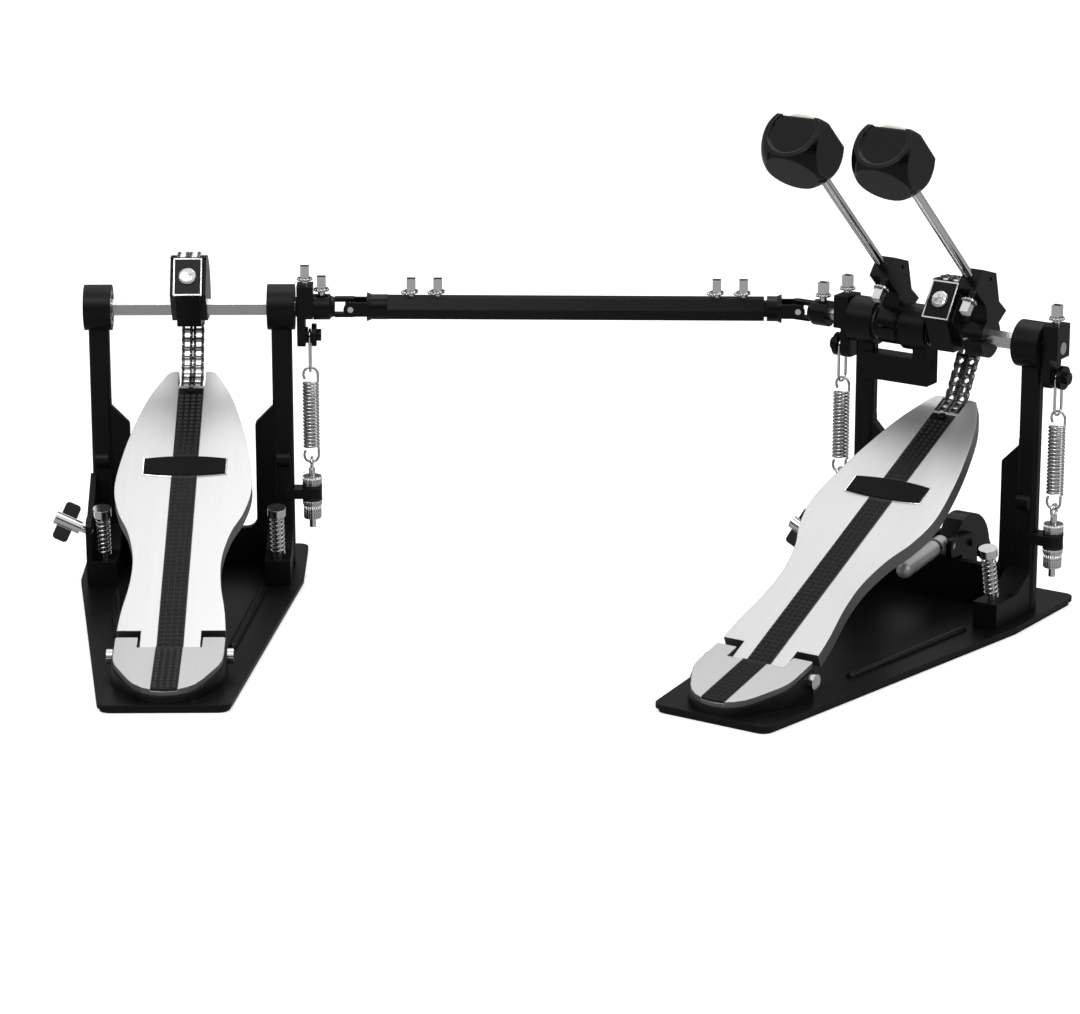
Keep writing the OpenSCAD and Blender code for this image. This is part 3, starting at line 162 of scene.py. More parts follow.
# %% Arithmetic on outputs
class Wire:
    """One output of a node, on which arithmetic adds Math nodes."""

    def __init__(self, finish, socket):
        self.finish, self.socket = finish, socket

    def math(self, kind, *values):
        return self.finish.node("ShaderNodeMath", {"operation": kind}, dict(enumerate(values)))

    def __add__(self, other):
        return self.math("ADD", self, other)

    def __sub__(self, other):
        return self.math("SUBTRACT", self, other)

    def __rsub__(self, other):
        return self.math("SUBTRACT", other, self)

    def __mul__(self, other):
        return self.math("MULTIPLY", self, other)

    def __gt__(self, other):
        return self.math("GREATER_THAN", self, other)

    def __lt__(self, other):
        return self.math("LESS_THAN", self, other)

    def __abs__(self):
        return self.math("ABSOLUTE", self)

    __radd__ = __add__
    __rmul__ = __mul__


print("arithmetic on outputs is ready")

# %% [markdown]
# Real parts have no knife edges. Every solid could be given a bevelled mesh, but that is slow.
# Bending the normal near an edge gives each rim the thin highlight that a small radius makes. The
# same bend gives a mask that is 1 on the edges: some finishes lighten them with it as wear, others as
# a painted highlight.


# %% Edges, coordinates and stretched grain
FLAT_FACE, FULL_EDGE = 0.995, 0.9


def soft_edges(finish, radius):
    """A normal that rounds the edges, and a mask that is 1 on them."""
    rounded = finish.node("ShaderNodeBevel", {"samples": 4}, {"Radius": radius})
    plain = finish.node("ShaderNodeNewGeometry", None, None, "Normal")
    along = finish.node("ShaderNodeVectorMath", {"operation": "DOT_PRODUCT"}, {0: rounded, 1: plain}, "Value")
    return rounded, finish.step(along, FLAT_FACE, FULL_EDGE)


def own_place(finish, origin=(0, 0, 0), turn=(0, 0, 0)):
    """Object coordinates, measured from an origin along turned axes."""
    where = finish.node("ShaderNodeTexCoord", None, None, "Object")
    settings = {"vector_type": "TEXTURE"}
    return finish.node("ShaderNodeMapping", settings, {"Vector": where, "Location": origin, "Rotation": turn})


def stretched(finish, where, factors):
    return finish.node("ShaderNodeVectorMath", {"operation": "MULTIPLY"}, {0: where, 1: factors})


def bumped(finish, height, strength, distance, normal):
    sockets = {"Strength": strength, "Distance": distance, "Height": height, "Normal": normal}
    return finish.node("ShaderNodeBump", None, sockets)


def colour(level, tint=(1, 1, 1)):
    return (level * tint[0], level * tint[1], level * tint[2], 1)


print("a full edge is turned past", FULL_EDGE)

# %% [markdown]
# The frames and plates are powder coated: satin black with a fine orange peel. The coat is rougher
# in some places than in others, and the edges are painted a little lighter, partly as wear and partly
# as a painted highlight.


# %% Black finishes
def black_coat(name, level, rough, peel, peel_scale, edge=0.0006, shine=0.16):
    finish = Finish(name)
    where = own_place(finish)
    normal, edge_wear_and_highlight = soft_edges(finish, edge)
    fine = finish.noise(where, peel_scale, 2)
    cloudy = finish.noise(where, 14, 3)
    finish.set(
        # the edges are painted lighter: partly wear, partly a painted highlight
        Base_Color=finish.mix(edge_wear_and_highlight * 0.35 + cloudy * 0.2, colour(level), colour(level * 2.6 + 0.01)),
        Specular_IOR_Level=shine,
        Roughness=cloudy * 0.16 + rough - 0.08 + fine * 0.05,
        Normal=bumped(finish, fine, peel, 0.0004, normal),
    )
    return finish


powder_coat = black_coat("powder_coat", 0.003, 0.33, 0.16, 900)
black_alloy = black_coat("black_alloy", 0.003, 0.25, 0.08, 1300, 0.0004)
badge_black = black_coat("badge_black", 0.002, 0.3, 0.05, 1300, 0.0003, shine=0.05)
print("black finishes", powder_coat.material.name, black_alloy.material.name)

# %% [markdown]
# The soles and grips are moulded rubber. It could be one flat dark colour, but rubber takes dust in
# the open, so a fine grain moves the roughness and a coarser noise moves the colour. The rims are a
# touch lighter as a painted highlight, which stands for the bright glints on the grip pyramids.


# %% Rubber
def rubber(name, level, rough, rim):
    finish = Finish(name)
    where = own_place(finish)
    normal, edge_wear_and_highlight = soft_edges(finish, 0.0004)
    grain = finish.noise(where, 1800, 2)
    dust = finish.noise(where, 60, 4)
    finish.set(
        # the rim level is a painted highlight that lightens the edges
        Base_Color=finish.mix(edge_wear_and_highlight, finish.mix(dust, colour(level), colour(level * 1.6)), colour(rim)),
        Specular_IOR_Level=0.25,
        Roughness=grain * 0.12 + rough,
        Normal=bumped(finish, grain, 0.2, 0.0002, normal),
    )
    return finish


sole_rubber = rubber("sole_rubber", 0.008, 0.62, 0.015)
grip_rubber = rubber("grip_rubber", 0.004, 0.2, 0.02)
print("rubbers", sole_rubber.material.name, grip_rubber.material.name)

# %% [markdown]
# The boards are machined aluminium, brushed lengthwise. Noise that is squeezed across the board and
# drawn out along it makes the grain. It follows the board's own slope and turn, so each board gets
# its own copy of the finish. The walls of a board are painted dark, a painted shade that stands for
# the dark surroundings they reflect, with a painted highlight along their edges.


# %% Brushed boards
def brushed(name, place, squeeze=(2600, 16, 700), level=0.68):
    finish = Finish(name)
    where = own_place(finish, place.translation, place.to_euler())
    facing = finish.node("ShaderNodeTexCoord", None, None, "Normal")
    upwards = {0: facing, 1: place.col[2].xyz}
    rise = finish.node("ShaderNodeVectorMath", {"operation": "DOT_PRODUCT"}, upwards, "Value")
    painted_dark_wall = finish.step(rise, 0.8, 0.5)
    normal, edge_wear_and_highlight = soft_edges(finish, 0.0007)
    grain = finish.noise(stretched(finish, where, squeeze), 1.0, 3, 0.65)
    broad = finish.noise(stretched(finish, where, (180, 3, 60)), 1.0, 2)
    cloud = finish.noise(where, 22, 2)
    shade = grain * 0.55 + broad * 0.3 + cloud * 0.15
    face = finish.mix(shade, colour(level * 0.78), colour(level, (1, 1, 1.01)))
    finish.set(
        # painted shade on the walls, lightened along their edges as a painted highlight
        Base_Color=finish.mix(painted_dark_wall * (1 - edge_wear_and_highlight * 0.6), face, colour(0.16)),
        Metallic=0.85,
        Roughness=grain * 0.16 + cloud * 0.08 + 0.3 - edge_wear_and_highlight * 0.08,
        Normal=bumped(finish, grain, 0.10, 0.0002, normal),
    )
    return finish


boards = {}
for pedal in ("main", "side"):
    boards[pedal] = brushed(f"brushed_board_{pedal}", sloped(pedal, BOARD_FOOT, BOARD_SLOPE))
    boards[pedal + "_heel"] = brushed(f"brushed_heel_{pedal}", sloped(pedal, HEEL_TOP, HEEL_SLOPE))
print("board finishes", sorted(boards))


# %% [markdown]
# Chrome is almost a mirror, with faint waves from polishing. Ground and drawn steel are duller.


# %% Bright steels
def bright(name, level, rough, wave, wave_scale, edge=0.0003):
    finish = Finish(name)
    where = own_place(finish)
    normal, edge_wear_and_highlight = soft_edges(finish, edge)
    waves = finish.noise(where, wave_scale, 2)
    smear = finish.noise(where, 55, 3)
    finish.set(
        Base_Color=finish.mix(smear, colour(level * 0.86), colour(level)),
        Metallic=1.0,
        Roughness=smear * 0.09 + rough - edge_wear_and_highlight * 0.03,
        Normal=bumped(finish, waves, wave, 0.0003, normal),
    )
    return finish


chrome = bright("chrome", 0.8, 0.07, 0.05, 260)
spring_steel = bright("spring_steel", 0.66, 0.12, 0.05, 400)
axle_steel = bright("axle_steel", 0.6, 0.2, 0.08, 700)
print("bright steels", [finish.material.name for finish in (chrome, spring_steel, axle_steel)])

# %% [markdown]
# A ball bearing shows two ground rings with a dark seal between them. Three materials would need
# three meshes. Here the distance from the axle's line tells which is which, in one material.


# %% Bearings
SEAL_FROM, SEAL_TO = 6.1, 9.3
TURNED_RINGS = 9


def round_axle(finish, pedal):
    """Distance along the axle and away from it, in millimetres."""
    origin = PLACE[pedal] @ Vector((0, 0, AXLE_HEIGHT))
    where = own_place(finish, origin, (0, 0, TURN[pedal]))
    parts = [finish.node("ShaderNodeSeparateXYZ", None, {0: where}, i) * 1000 for i in range(3)]
    squared = parts[1] * parts[1] + parts[2] * parts[2]
    return abs(parts[0]), squared.math("SQRT", squared)


def bearing_finish(pedal):
    finish = Finish(f"bearing_steel_{pedal}")
    _, away = round_axle(finish, pedal)
    normal, _ = soft_edges(finish, 0.0003)
    seal = (away > SEAL_FROM) * (away < SEAL_TO)
    phase = away * TURNED_RINGS
    turned = phase.math("SINE", phase)
    finish.set(
        Base_Color=finish.mix(seal, colour(0.62), colour(0.03)),
        Metallic=1 - seal,
        Roughness=seal * 0.25 + 0.2 + turned * 0.03,
        Normal=bumped(finish, turned, 0.05, 0.0001, normal),
    )
    return finish


bearings = {pedal: bearing_finish(pedal) for pedal in PLACE}
print("bearing finishes", sorted(bearings))

# %% [markdown]
# A duplex chain has blued side plates and bright rollers and pin heads. Its finish works in the same
# way as the bearings': the plates stand at known distances along the axle.


# %% Chain
INNER_PLATES_TO = 2.02
OUTER_PLATES_FROM, OUTER_PLATES_TO = 5.52, 7.22


def chain_finish(pedal):
    finish = Finish(f"chain_steel_{pedal}")
    along, _ = round_axle(finish, pedal)
    normal, edge_wear_and_highlight = soft_edges(finish, 0.00025)
    plate = (along < INNER_PLATES_TO) + (along > OUTER_PLATES_FROM) * (along < OUTER_PLATES_TO)
    oil = finish.noise(own_place(finish), 300, 3)
    blued = finish.mix(edge_wear_and_highlight * 0.6 + oil * 0.2, colour(0.05), colour(0.45))
    finish.set(
        Base_Color=finish.mix(plate, colour(0.72), blued),
        Metallic=1.0,
        Roughness=oil * 0.2 + 0.14 + plate * 0.06,
        Normal=bumped(finish, oil, 0.06, 0.0001, normal),
    )
    return finish


chains = {pedal: chain_finish(pedal) for pedal in PLACE}
print("chain finishes", sorted(chains))

# %% [markdown]
# A wing screw is one casting: a bright round hub with two dark blades. It could be two materials on
# two meshes. The solid is one mesh, so the distance from the screw's own axis tells hub from blade.

# %% Wing screws
WING_AXIS = (-0.068, -0.045, 0.042)
WING_TILT = math.radians(25)
WING_HUB_R = 4.6


def wing_finish(pedal):
    """Chrome at the screw's own axis, dark on the wings."""
    finish = Finish(f"wing_screw_{pedal}")
    stand = PLACE[pedal] @ Matrix.Translation(WING_AXIS) @ Matrix.Rotation(WING_TILT, 4, "Y")
    where = own_place(finish, stand.translation, stand.to_euler())
    across = [finish.node("ShaderNodeSeparateXYZ", None, {0: where}, i) * 1000 for i in (1, 2)]
    squared = across[0] * across[0] + across[1] * across[1]
    wing = squared > WING_HUB_R**2
    normal, edge_wear_and_highlight = soft_edges(finish, 0.0004)
    cast = finish.noise(where, 700, 3)
    finish.set(
        Base_Color=finish.mix(wing * (1 - edge_wear_and_highlight * 0.5), colour(0.75), colour(0.06)),
        Metallic=1.0,
        Roughness=wing * 0.2 + cast * 0.1 + 0.06,
        Normal=bumped(finish, cast, 0.12, 0.0003, normal),
    )
    return finish


wings = {pedal: wing_finish(pedal) for pedal in PLACE}
print("wing screw finishes", sorted(wings))

# %% [markdown]
# The beater heads are moulded in glossy black plastic: nearly no colour of its own, and all the light
# comes from reflections. A thin clear coat only on the rims gives them their bright lines.

# %% Beater heads
beater_gloss = Finish("beater_gloss")
edges, edge_wear_and_highlight = soft_edges(beater_gloss, 0.002)
moulded = beater_gloss.noise(own_place(beater_gloss), 90, 2)
beater_gloss.set(
    Base_Color=beater_gloss.mix(moulded, colour(0.002), colour(0.004)),
    Roughness=moulded * 0.05 + 0.04,
    Specular_IOR_Level=0.2,
    Coat_Weight=edge_wear_and_highlight * 0.7,
    Normal=bumped(beater_gloss, moulded, 0.03, 0.0005, edges),
)
print("head finish", beater_gloss.material.name)

# %% [markdown]
# Pressed felt is the opposite: no gloss, a fuzzy bump, and a little sheen where fibres catch light
# from the side. Hair would be finer, but from a step away the bump can't be told from it.

# %% Felt
felt = Finish("beater_felt")
where = own_place(felt)
fuzz = felt.noise(where, 1500, 4, 0.7)
matted = felt.noise(where, 160, 3)
matted_wool, clean_wool = colour(0.62, (1, 0.9, 0.76)), colour(0.9, (1, 0.93, 0.82))
felt.set(
    Base_Color=felt.mix(matted * 0.6 + fuzz * 0.4, matted_wool, clean_wool),
    Roughness=0.95,
    Sheen_Weight=0.4,
    Normal=bumped(felt, fuzz, 0.7, 0.0006, felt.node("ShaderNodeNewGeometry", None, None, "Normal")),
)
print("felt finish", felt.material.name)

# %% [markdown]
# The clamp lever is satin grey, with one dark ring near its pivot. The ring is a colour and not a
# groove, so two comparisons of the distance along the lever make its mask.

# %% Clamp lever
LEVER_RING = (12, 15)
lever_satin = Finish("lever_satin")
edges, _ = soft_edges(lever_satin, 0.0005)
where = own_place(lever_satin, (0, 0, 0), (0, 0, MAIN_TURN))
cloud = lever_satin.noise(where, 120, 3)
reach = lever_satin.node("ShaderNodeSeparateXYZ", None, {0: where}, 1) * -1000
ring = (reach > LEVER_RING[0]) * (reach < LEVER_RING[1])
satin = lever_satin.mix(cloud, colour(0.5, (1, 1.01, 1.02)), colour(0.6, (1, 1.01, 1.02)))
lever_satin.set(
    Base_Color=lever_satin.mix(ring, satin, colour(0.05)),
    Metallic=0.6,
    Roughness=cloud * 0.14 + 0.32,
    Normal=bumped(lever_satin, cloud, 0.1, 0.0004, edges),
)
print("lever finish", lever_satin.material.name)

# %% [markdown]
# The record says which material slot each solid belongs to. A slot whose pattern follows one pedal
# has one finish for each pedal, and the solid's name says which it is.

# %% Dress the solids
by_slot = {
    "powder_coat": powder_coat,
    "sole_rubber": sole_rubber,
    "grip_rubber": grip_rubber,
    "chrome": chrome,
    "spring_steel": spring_steel,
    "axle_steel": axle_steel,
    "black_alloy": black_alloy,
    "beater_gloss": beater_gloss,
    "beater_felt": felt,
    "lever_satin": lever_satin,
}


def finish_for(node, slot_name):
    pedal = "side" if node.startswith("side") else "main"
    if slot_name == "brushed_board":
        return boards[pedal + "_heel"] if "heel" in node else boards[pedal]
    if slot_name == "bearing_steel":
        return bearings[pedal]
    if node.endswith("wing_screw"):
        return wings[pedal]
    if slot_name == "chain_steel":
        return chains[pedal]
    return by_slot[slot_name]


for part in frame["record"]["subparts"]:
    shape = frame["nodes"][part["node"]]
    shape.data.materials.clear()
    shape.data.materials.append(finish_for(part["node"], part["material_slot"]).material)

# %% [markdown]
# Every added piece ends in the same way: its mesh is put in place, its faces are turned outwards, it
# rides on a body and takes its finish.


# %% Finish a piece
def new_mesh(name, work):
    """Makes an object from a bmesh."""
    mesh = bpy.data.meshes.new(name)
    work.to_mesh(mesh)
    work.free()
    made = bpy.data.objects.new(name, mesh)
    bpy.context.collection.objects.link(made)
    return made


def settle(piece, finish, body, place=None, smooth=True, outward=True):
    """Places a piece's mesh, cleans it, and gives it its finish, its slot and the body that it rides on."""
    if place is not None:
        piece.data.transform(place)
    work = bmesh.new()
    work.from_mesh(piece.data)
    if outward:
        bmesh.ops.remove_doubles(work, verts=work.verts, dist=1e-6)
        bmesh.ops.recalc_face_normals(work, faces=work.faces)
    for face in work.faces:
        face.smooth = smooth
        face.material_index = 0
    work.to_mesh(piece.data)
    work.free()
    piece.data.materials.clear()
    piece.data.materials.append(finish.material)
    if body:
        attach(piece, body)


def joined(name, pieces):
    """One object from several meshes."""
    work = bmesh.new()
    for piece in pieces:
        work.from_mesh(piece.data)
        old = piece.data
        bpy.data.objects.remove(piece)
        bpy.data.meshes.remove(old)
    return new_mesh(name, work)


# %% [markdown]
# What repeats is made with Geometry Nodes. A small helper builds a tree with named inputs, runs it on
# an empty object with the sizes for one place, and keeps the result as a plain mesh.


# %% Geometry Nodes helpers
class Recipe:
    """A Geometry Nodes tree with named sizes."""

    def __init__(self, name, sizes, takes_geometry=False):
        self.group = bpy.data.node_groups.new(name, "GeometryNodeTree")
        face = self.group.interface
        self.ids = {}
        if takes_geometry:
            face.new_socket("Geometry", in_out="INPUT", socket_type="NodeSocketGeometry")
        for label, kind in {**sizes, "Finish": "Material"}.items():
            socket = face.new_socket(label, in_out="INPUT", socket_type=f"NodeSocket{kind}")
            self.ids[label] = socket.identifier
        face.new_socket("Geometry", in_out="OUTPUT", socket_type="NodeSocketGeometry")
        self.start = self.group.nodes.new("NodeGroupInput")
        self.end = self.group.nodes.new("NodeGroupOutput")

    def size(self, label):
        return self.start.outputs[label]

    def add(self, kind, settings=None, sockets=None, out=0):
        made = self.group.nodes.new(kind)
        for name, value in (settings or {}).items():
            setattr(made, name, value)
        for key, value in (sockets or {}).items():
            if isinstance(value, bpy.types.NodeSocket):
                self.group.links.new(value, made.inputs[key])
            else:
                made.inputs[key].default_value = value
        return made.outputs[out]

    def close(self, geometry):
        whole = self.add("GeometryNodeRealizeInstances", None, {0: geometry})
        coloured = self.add("GeometryNodeSetMaterial", None, {0: whole, "Material": self.size("Finish")})
        self.group.links.new(coloured, self.end.inputs[0])

    def make(self, name, finish, source=None, **sizes):
        """Runs the tree and returns a plain mesh object."""
        sizes["Finish"] = finish.material
        data = source if source is not None else bpy.data.meshes.new(name + "_seed")
        seed = bpy.data.objects.new(name + "_seed", data)
        bpy.context.collection.objects.link(seed)
        modifier = seed.modifiers.new("recipe", "NODES")
        modifier.node_group = self.group
        for label, value in sizes.items():
            modifier[self.ids[label]] = value
        seen = seed.evaluated_get(bpy.context.evaluated_depsgraph_get())
        mesh = bpy.data.meshes.new_from_object(seen)
        seed.modifiers.remove(modifier)
        bpy.data.objects.remove(seed)
        mesh.name = name
        made = bpy.data.objects.new(name, mesh)
        bpy.context.collection.objects.link(made)
        return made


print("a recipe can", [name for name in vars(Recipe) if not name.startswith("_")])

# %% [markdown]
# The grip strips carry four columns of small rubber pyramids. On the real strip they are moulded in
# one piece. Here a grid of points carries four-sided cones, one strip at a time.

# %% Grip pyramids
pyramid_recipe = Recipe(
    "grip_pyramids",
    {
        "Columns": "Int",
        "Rows": "Int",
        "Wide": "Float",
        "Long": "Float",
        "Half Side": "Float",
        "Height": "Float",
    },
)
grid = pyramid_recipe.add(
    "GeometryNodeMeshGrid",
    None,
    {
        "Size X": pyramid_recipe.size("Wide"),
        "Size Y": pyramid_recipe.size("Long"),
        "Vertices X": pyramid_recipe.size("Columns"),
        "Vertices Y": pyramid_recipe.size("Rows"),
    },
    "Mesh",
)
cone = pyramid_recipe.add(
    "GeometryNodeMeshCone",
    None,
    {
        "Vertices": 4,
        "Radius Top": 0.0002,
        "Radius Bottom": pyramid_recipe.size("Half Side"),
        "Depth": pyramid_recipe.size("Height"),
    },
    "Mesh",
)
turned = pyramid_recipe.add("GeometryNodeTransform", None, {0: cone, "Rotation": (0, 0, math.radians(45))})
spread = pyramid_recipe.add("GeometryNodeInstanceOnPoints", None, {"Points": grid, "Instance": turned})
pyramid_recipe.close(spread)
print("pyramid tree", len(pyramid_recipe.group.nodes), "nodes")

# %% [markdown]
# The strip on a board is broken by the badge, so it is made in two runs, below and above it. The
# heel plate has a short strip of its own, which stays with the frame while the board moves.

# %% Grip strips
STRIP_COLUMNS = 4
STRIP_WIDE = 11.7 * MM
ROW_PITCH = 3.9 * MM
STRIP_TOP = 0.6 * MM
PYRAMID_HALF, PYRAMID_HIGH = 2.4 * MM, 1.2 * MM
LOWER_GRIP = (-10 * MM, 152.5 * MM)
UPPER_GRIP = (173.5 * MM, 237 * MM)
HEEL_GRIP = (-57.5 * MM, -8 * MM)


def grip_strip(name, low, high):
    """Pyramids from low to high along a sloping face, in its own frame."""
    rows = int((high - low) / ROW_PITCH)
    strip = pyramid_recipe.make(
        name,
        grip_rubber,
        Columns=STRIP_COLUMNS,
        Rows=rows,
        Wide=STRIP_WIDE,
        Long=(rows - 1) * ROW_PITCH,
        **{"Half Side": PYRAMID_HALF, "Height": PYRAMID_HIGH},
    )
    strip.data.transform(Matrix.Translation((0, (low + high) / 2, STRIP_TOP)))
    return strip


for pedal in PLACE:
    lower = grip_strip("lower", *LOWER_GRIP)
    upper = grip_strip("upper", *UPPER_GRIP)
    grips = joined(f"{pedal}_board_grips", [lower, upper])
    place = sloped(pedal, BOARD_FOOT, BOARD_SLOPE)
    settle(grips, grip_rubber, f"{pedal}_board", place, smooth=False, outward=False)
    heel = grip_strip(f"{pedal}_heel_grips", *HEEL_GRIP)
    place = sloped(pedal, HEEL_TOP, HEEL_SLOPE)
    settle(heel, grip_rubber, f"{pedal}_unit", place, smooth=False, outward=False)
print("corners in the grips of one board", len(grips.data.vertices))

# %% [markdown]
# The badge on each board is a bare black plate in a thin bright frame. Its long sides bulge. Its
# outline is two shallow arcs, and the frame is the space between two such outlines.

# %% Badge plates
BADGE_AT = 163 * MM
BADGE_HALF = 26.5 * MM
BADGE_SIDE = 7.3 * MM
BADGE_BULGE = 2.3 * MM


def badge_outline(grow, count=16):
    half, high = BADGE_HALF + grow, BADGE_SIDE + grow
    radius = (half**2 + BADGE_BULGE**2) / (2 * BADGE_BULGE)
    reach = math.asin(half / radius)
    points = []
    for side in (1, -1):
        for i in range(count + 1):
            a = reach * (1 - 2 * i / count)
            x = radius * math.sin(a) * side
            y = side * (high + BADGE_BULGE - radius + radius * math.cos(a))
            points.append((x, y + BADGE_AT))
    return points


print("badge outline points", len(badge_outline(0)))

# %% [markdown]
# A loft joins rings of points that all have the same count. It makes the plate, its frame, and many
# small turned parts further on, so it is written once.


# %% Lofts and badges
def band(name, rings):
    """A closed shape through rings of points, from the first to the last, with both ends capped."""
    work = bmesh.new()
    loops = [[work.verts.new(p) for p in ring] for ring in rings]
    for low, high in zip(loops, loops[1:]):
        for i, v in enumerate(low):
            j = (i + 1) % len(low)
            work.faces.new((v, low[j], high[j], high[i]))
    work.faces.new(list(reversed(loops[0])))
    work.faces.new(loops[-1])
    return new_mesh(name, work)


def raised(points, height):
    return [(x, y, height) for x, y in points]


for pedal in PLACE:
    place = sloped(pedal, BOARD_FOOT, BOARD_SLOPE)
    plate = band(
        f"{pedal}_badge_plate",
        [
            raised(badge_outline(-0.2 * MM), 0.2 * MM),
            raised(badge_outline(-0.2 * MM), 1.1 * MM),
            raised(badge_outline(-0.6 * MM), 1.35 * MM),
        ],
    )
    settle(plate, badge_black, f"{pedal}_board", place, smooth=False)
    rim = band(
        f"{pedal}_badge_rim",
        [
            raised(badge_outline(0.9 * MM), -0.3 * MM),
            raised(badge_outline(0.9 * MM), 0.35 * MM),
            raised(badge_outline(0.6 * MM), 0.55 * MM),
            raised(badge_outline(0.0 * MM), 0.45 * MM),
        ],
    )
    settle(rim, chrome, f"{pedal}_board", place, smooth=False)
print("badges made")

# %% [markdown]
# A pull spring is one wire: a loop at each end and close curls between. The solid holds a coarse
# six-sided wire. Here the same line is swept with a round section by a tree that turns a curve into a
# tube.

# %% Wound springs
wire_recipe = Recipe("wire_from_line", {"Radius": "Float", "Sides": "Int"}, takes_geometry=True)
section = wire_recipe.add(
    "GeometryNodeCurvePrimitiveCircle",
    None,
    {"Resolution": wire_recipe.size("Sides"), "Radius": wire_recipe.size("Radius")},
    "Curve",
)
swept = wire_recipe.add(
    "GeometryNodeCurveToMesh",
    None,
    {"Curve": wire_recipe.start.outputs[0], "Profile Curve": section, "Fill Caps": True},
)
wire_recipe.close(swept)
print("wire tree", len(wire_recipe.group.nodes), "nodes")

# %% [markdown]
# The line of a pull spring is three formulas in a row: the lower loop, the helix and the upper loop.
# The lower loop is the upper one turned over.


# %% The line of a pull spring
def line_curve(name, points):
    data = bpy.data.curves.new(name, "CURVE")
    data.dimensions = "3D"
    spline = data.splines.new("POLY")
    spline.points.add(len(points) - 1)
    for spot, p in zip(spline.points, points):
        spot.co = (*p, 1)
    return data


COIL_R, WIRE_R, COIL_TURNS, COIL_LEN = 4.75, 0.8, 19, 45.2
HOOK_BEND, HOOK_LIFT, HOOK_ANGLE, HOOK_STEP = 1.2, 3.5, 200, 10
EYE_HEIGHT, EYE_R, EYE_WIRE, HOOK_GAP = 75.0, 3.7, 1, 0.35
ROUND_WIRE_R, WIRE_SIDES = WIRE_R + 0.05, 10
SPRING_X = 78.5
COIL_STEPS = 20


def hook_line():
    """The loop at a spring's upper end, from the last curl upwards."""
    points = []
    for a in range(HOOK_STEP, 91, HOOK_STEP):
        r = math.radians(a)
        points.append((COIL_R, HOOK_BEND * math.sin(r), HOOK_BEND * (1 - math.cos(r))))
    for b in range(0, HOOK_ANGLE + 1, HOOK_STEP):
        r = math.radians(b)
        points.append((COIL_R * math.cos(r), HOOK_BEND, HOOK_BEND + HOOK_LIFT + COIL_R * math.sin(r)))
    end, r = points[-1], math.radians(HOOK_ANGLE)
    points.append((end[0] - 2 * WIRE_R * math.sin(r), HOOK_BEND, end[2] + 2 * WIRE_R * math.cos(r)))
    return points


def pull_spring_line():
    hook = hook_line()
    rise = HOOK_BEND + HOOK_LIFT + COIL_R
    seat = math.sqrt((EYE_R - EYE_WIRE - WIRE_R - HOOK_GAP) ** 2 - HOOK_BEND**2)
    points = [(x, -y, rise - z) for x, y, z in reversed(hook)]
    count = COIL_STEPS * COIL_TURNS
    for i in range(count + 1):
        a = 2 * math.pi * i / COIL_STEPS
        points.append((COIL_R * math.cos(a), COIL_R * math.sin(a), rise + COIL_LEN * i / count))
    points += [(x, y, z + rise + COIL_LEN) for x, y, z in hook]
    return [(x * MM, y * MM, (z + EYE_HEIGHT + seat) * MM) for x, y, z in points]


line = pull_spring_line()
print("points on a spring", len(line))

# %% [markdown]
# Each spring hangs between the eye bolt and the link. Its mesh is put in place and rides on no body,
# and the coarse solid is hidden.

# %% Hang the springs
for name, pedal, side in (("main", "main", 1), ("second", "main", -1), ("side", "side", 1)):
    curve = line_curve(name, line)
    sizes = {"Radius": ROUND_WIRE_R * MM, "Sides": WIRE_SIDES}
    spring = wire_recipe.make(f"{name}_wound_spring", spring_steel, curve, **sizes)
    place = PLACE[pedal] @ Matrix.Translation((side * SPRING_X * MM, 0, 0))
    settle(spring, spring_steel, None, place)
    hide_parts(f"{name}_spring")
    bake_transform(spring)
print("spring triangles", len(spring.data.polygons) * 2)

# %% [markdown]
# Two spurs at the front of each frame stand in loose push springs, which lean with them. The same
# tree sweeps them: only the line is another, with wider turns and a straight tail at each end.

# %% Spur springs
SPUR_X, SPUR_Y, SPUR_TILT = 57.0, -36.0, math.radians(12)
SPUR_COIL_R, SPUR_WIRE, SPUR_TURNS = 4.3, 0.7, 8
SPUR_LOW, SPUR_TOP, SPUR_GAP = 25.2, 54, 0.6
SPUR_LEN = SPUR_TOP - SPUR_LOW - SPUR_GAP - 4 * SPUR_WIRE


def spur_line():
    count = COIL_STEPS * SPUR_TURNS
    tail = 2 * SPUR_WIRE
    points = [(SPUR_COIL_R, 0, 0)]
    for i in range(count + 1):
        a = 2 * math.pi * i / COIL_STEPS
        points.append((SPUR_COIL_R * math.cos(a), SPUR_COIL_R * math.sin(a), tail + SPUR_LEN * i / count))
    points.append((SPUR_COIL_R, 0, SPUR_LEN + 2 * tail))
    return [(x * MM, y * MM, (z + SPUR_LOW) * MM) for x, y, z in points]


for pedal in PLACE:
    coils = []
    for side in (-1, 1):
        curve = line_curve("spur", spur_line())
        sizes = {"Radius": SPUR_WIRE * MM, "Sides": WIRE_SIDES}
        coil = wire_recipe.make(f"{pedal}_coil", spring_steel, curve, **sizes)
        stand = Matrix.Translation((side * SPUR_X * MM, SPUR_Y * MM, 0)) @ Matrix.Rotation(SPUR_TILT, 4, "X")
        coil.data.transform(stand)
        coils.append(coil)
    both = joined(f"{pedal}_wound_spur_springs", coils)
    settle(both, spring_steel, f"{pedal}_unit", PLACE[pedal])
    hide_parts(f"{pedal}_spur_springs")
print("spur spring triangles", len(both.data.polygons) * 2)

# %% [markdown]
# Knurled nuts and the frilled flanges of the key screws are rings of small ribs. One tree puts a rib
# on each point of a circle and turns it outwards.

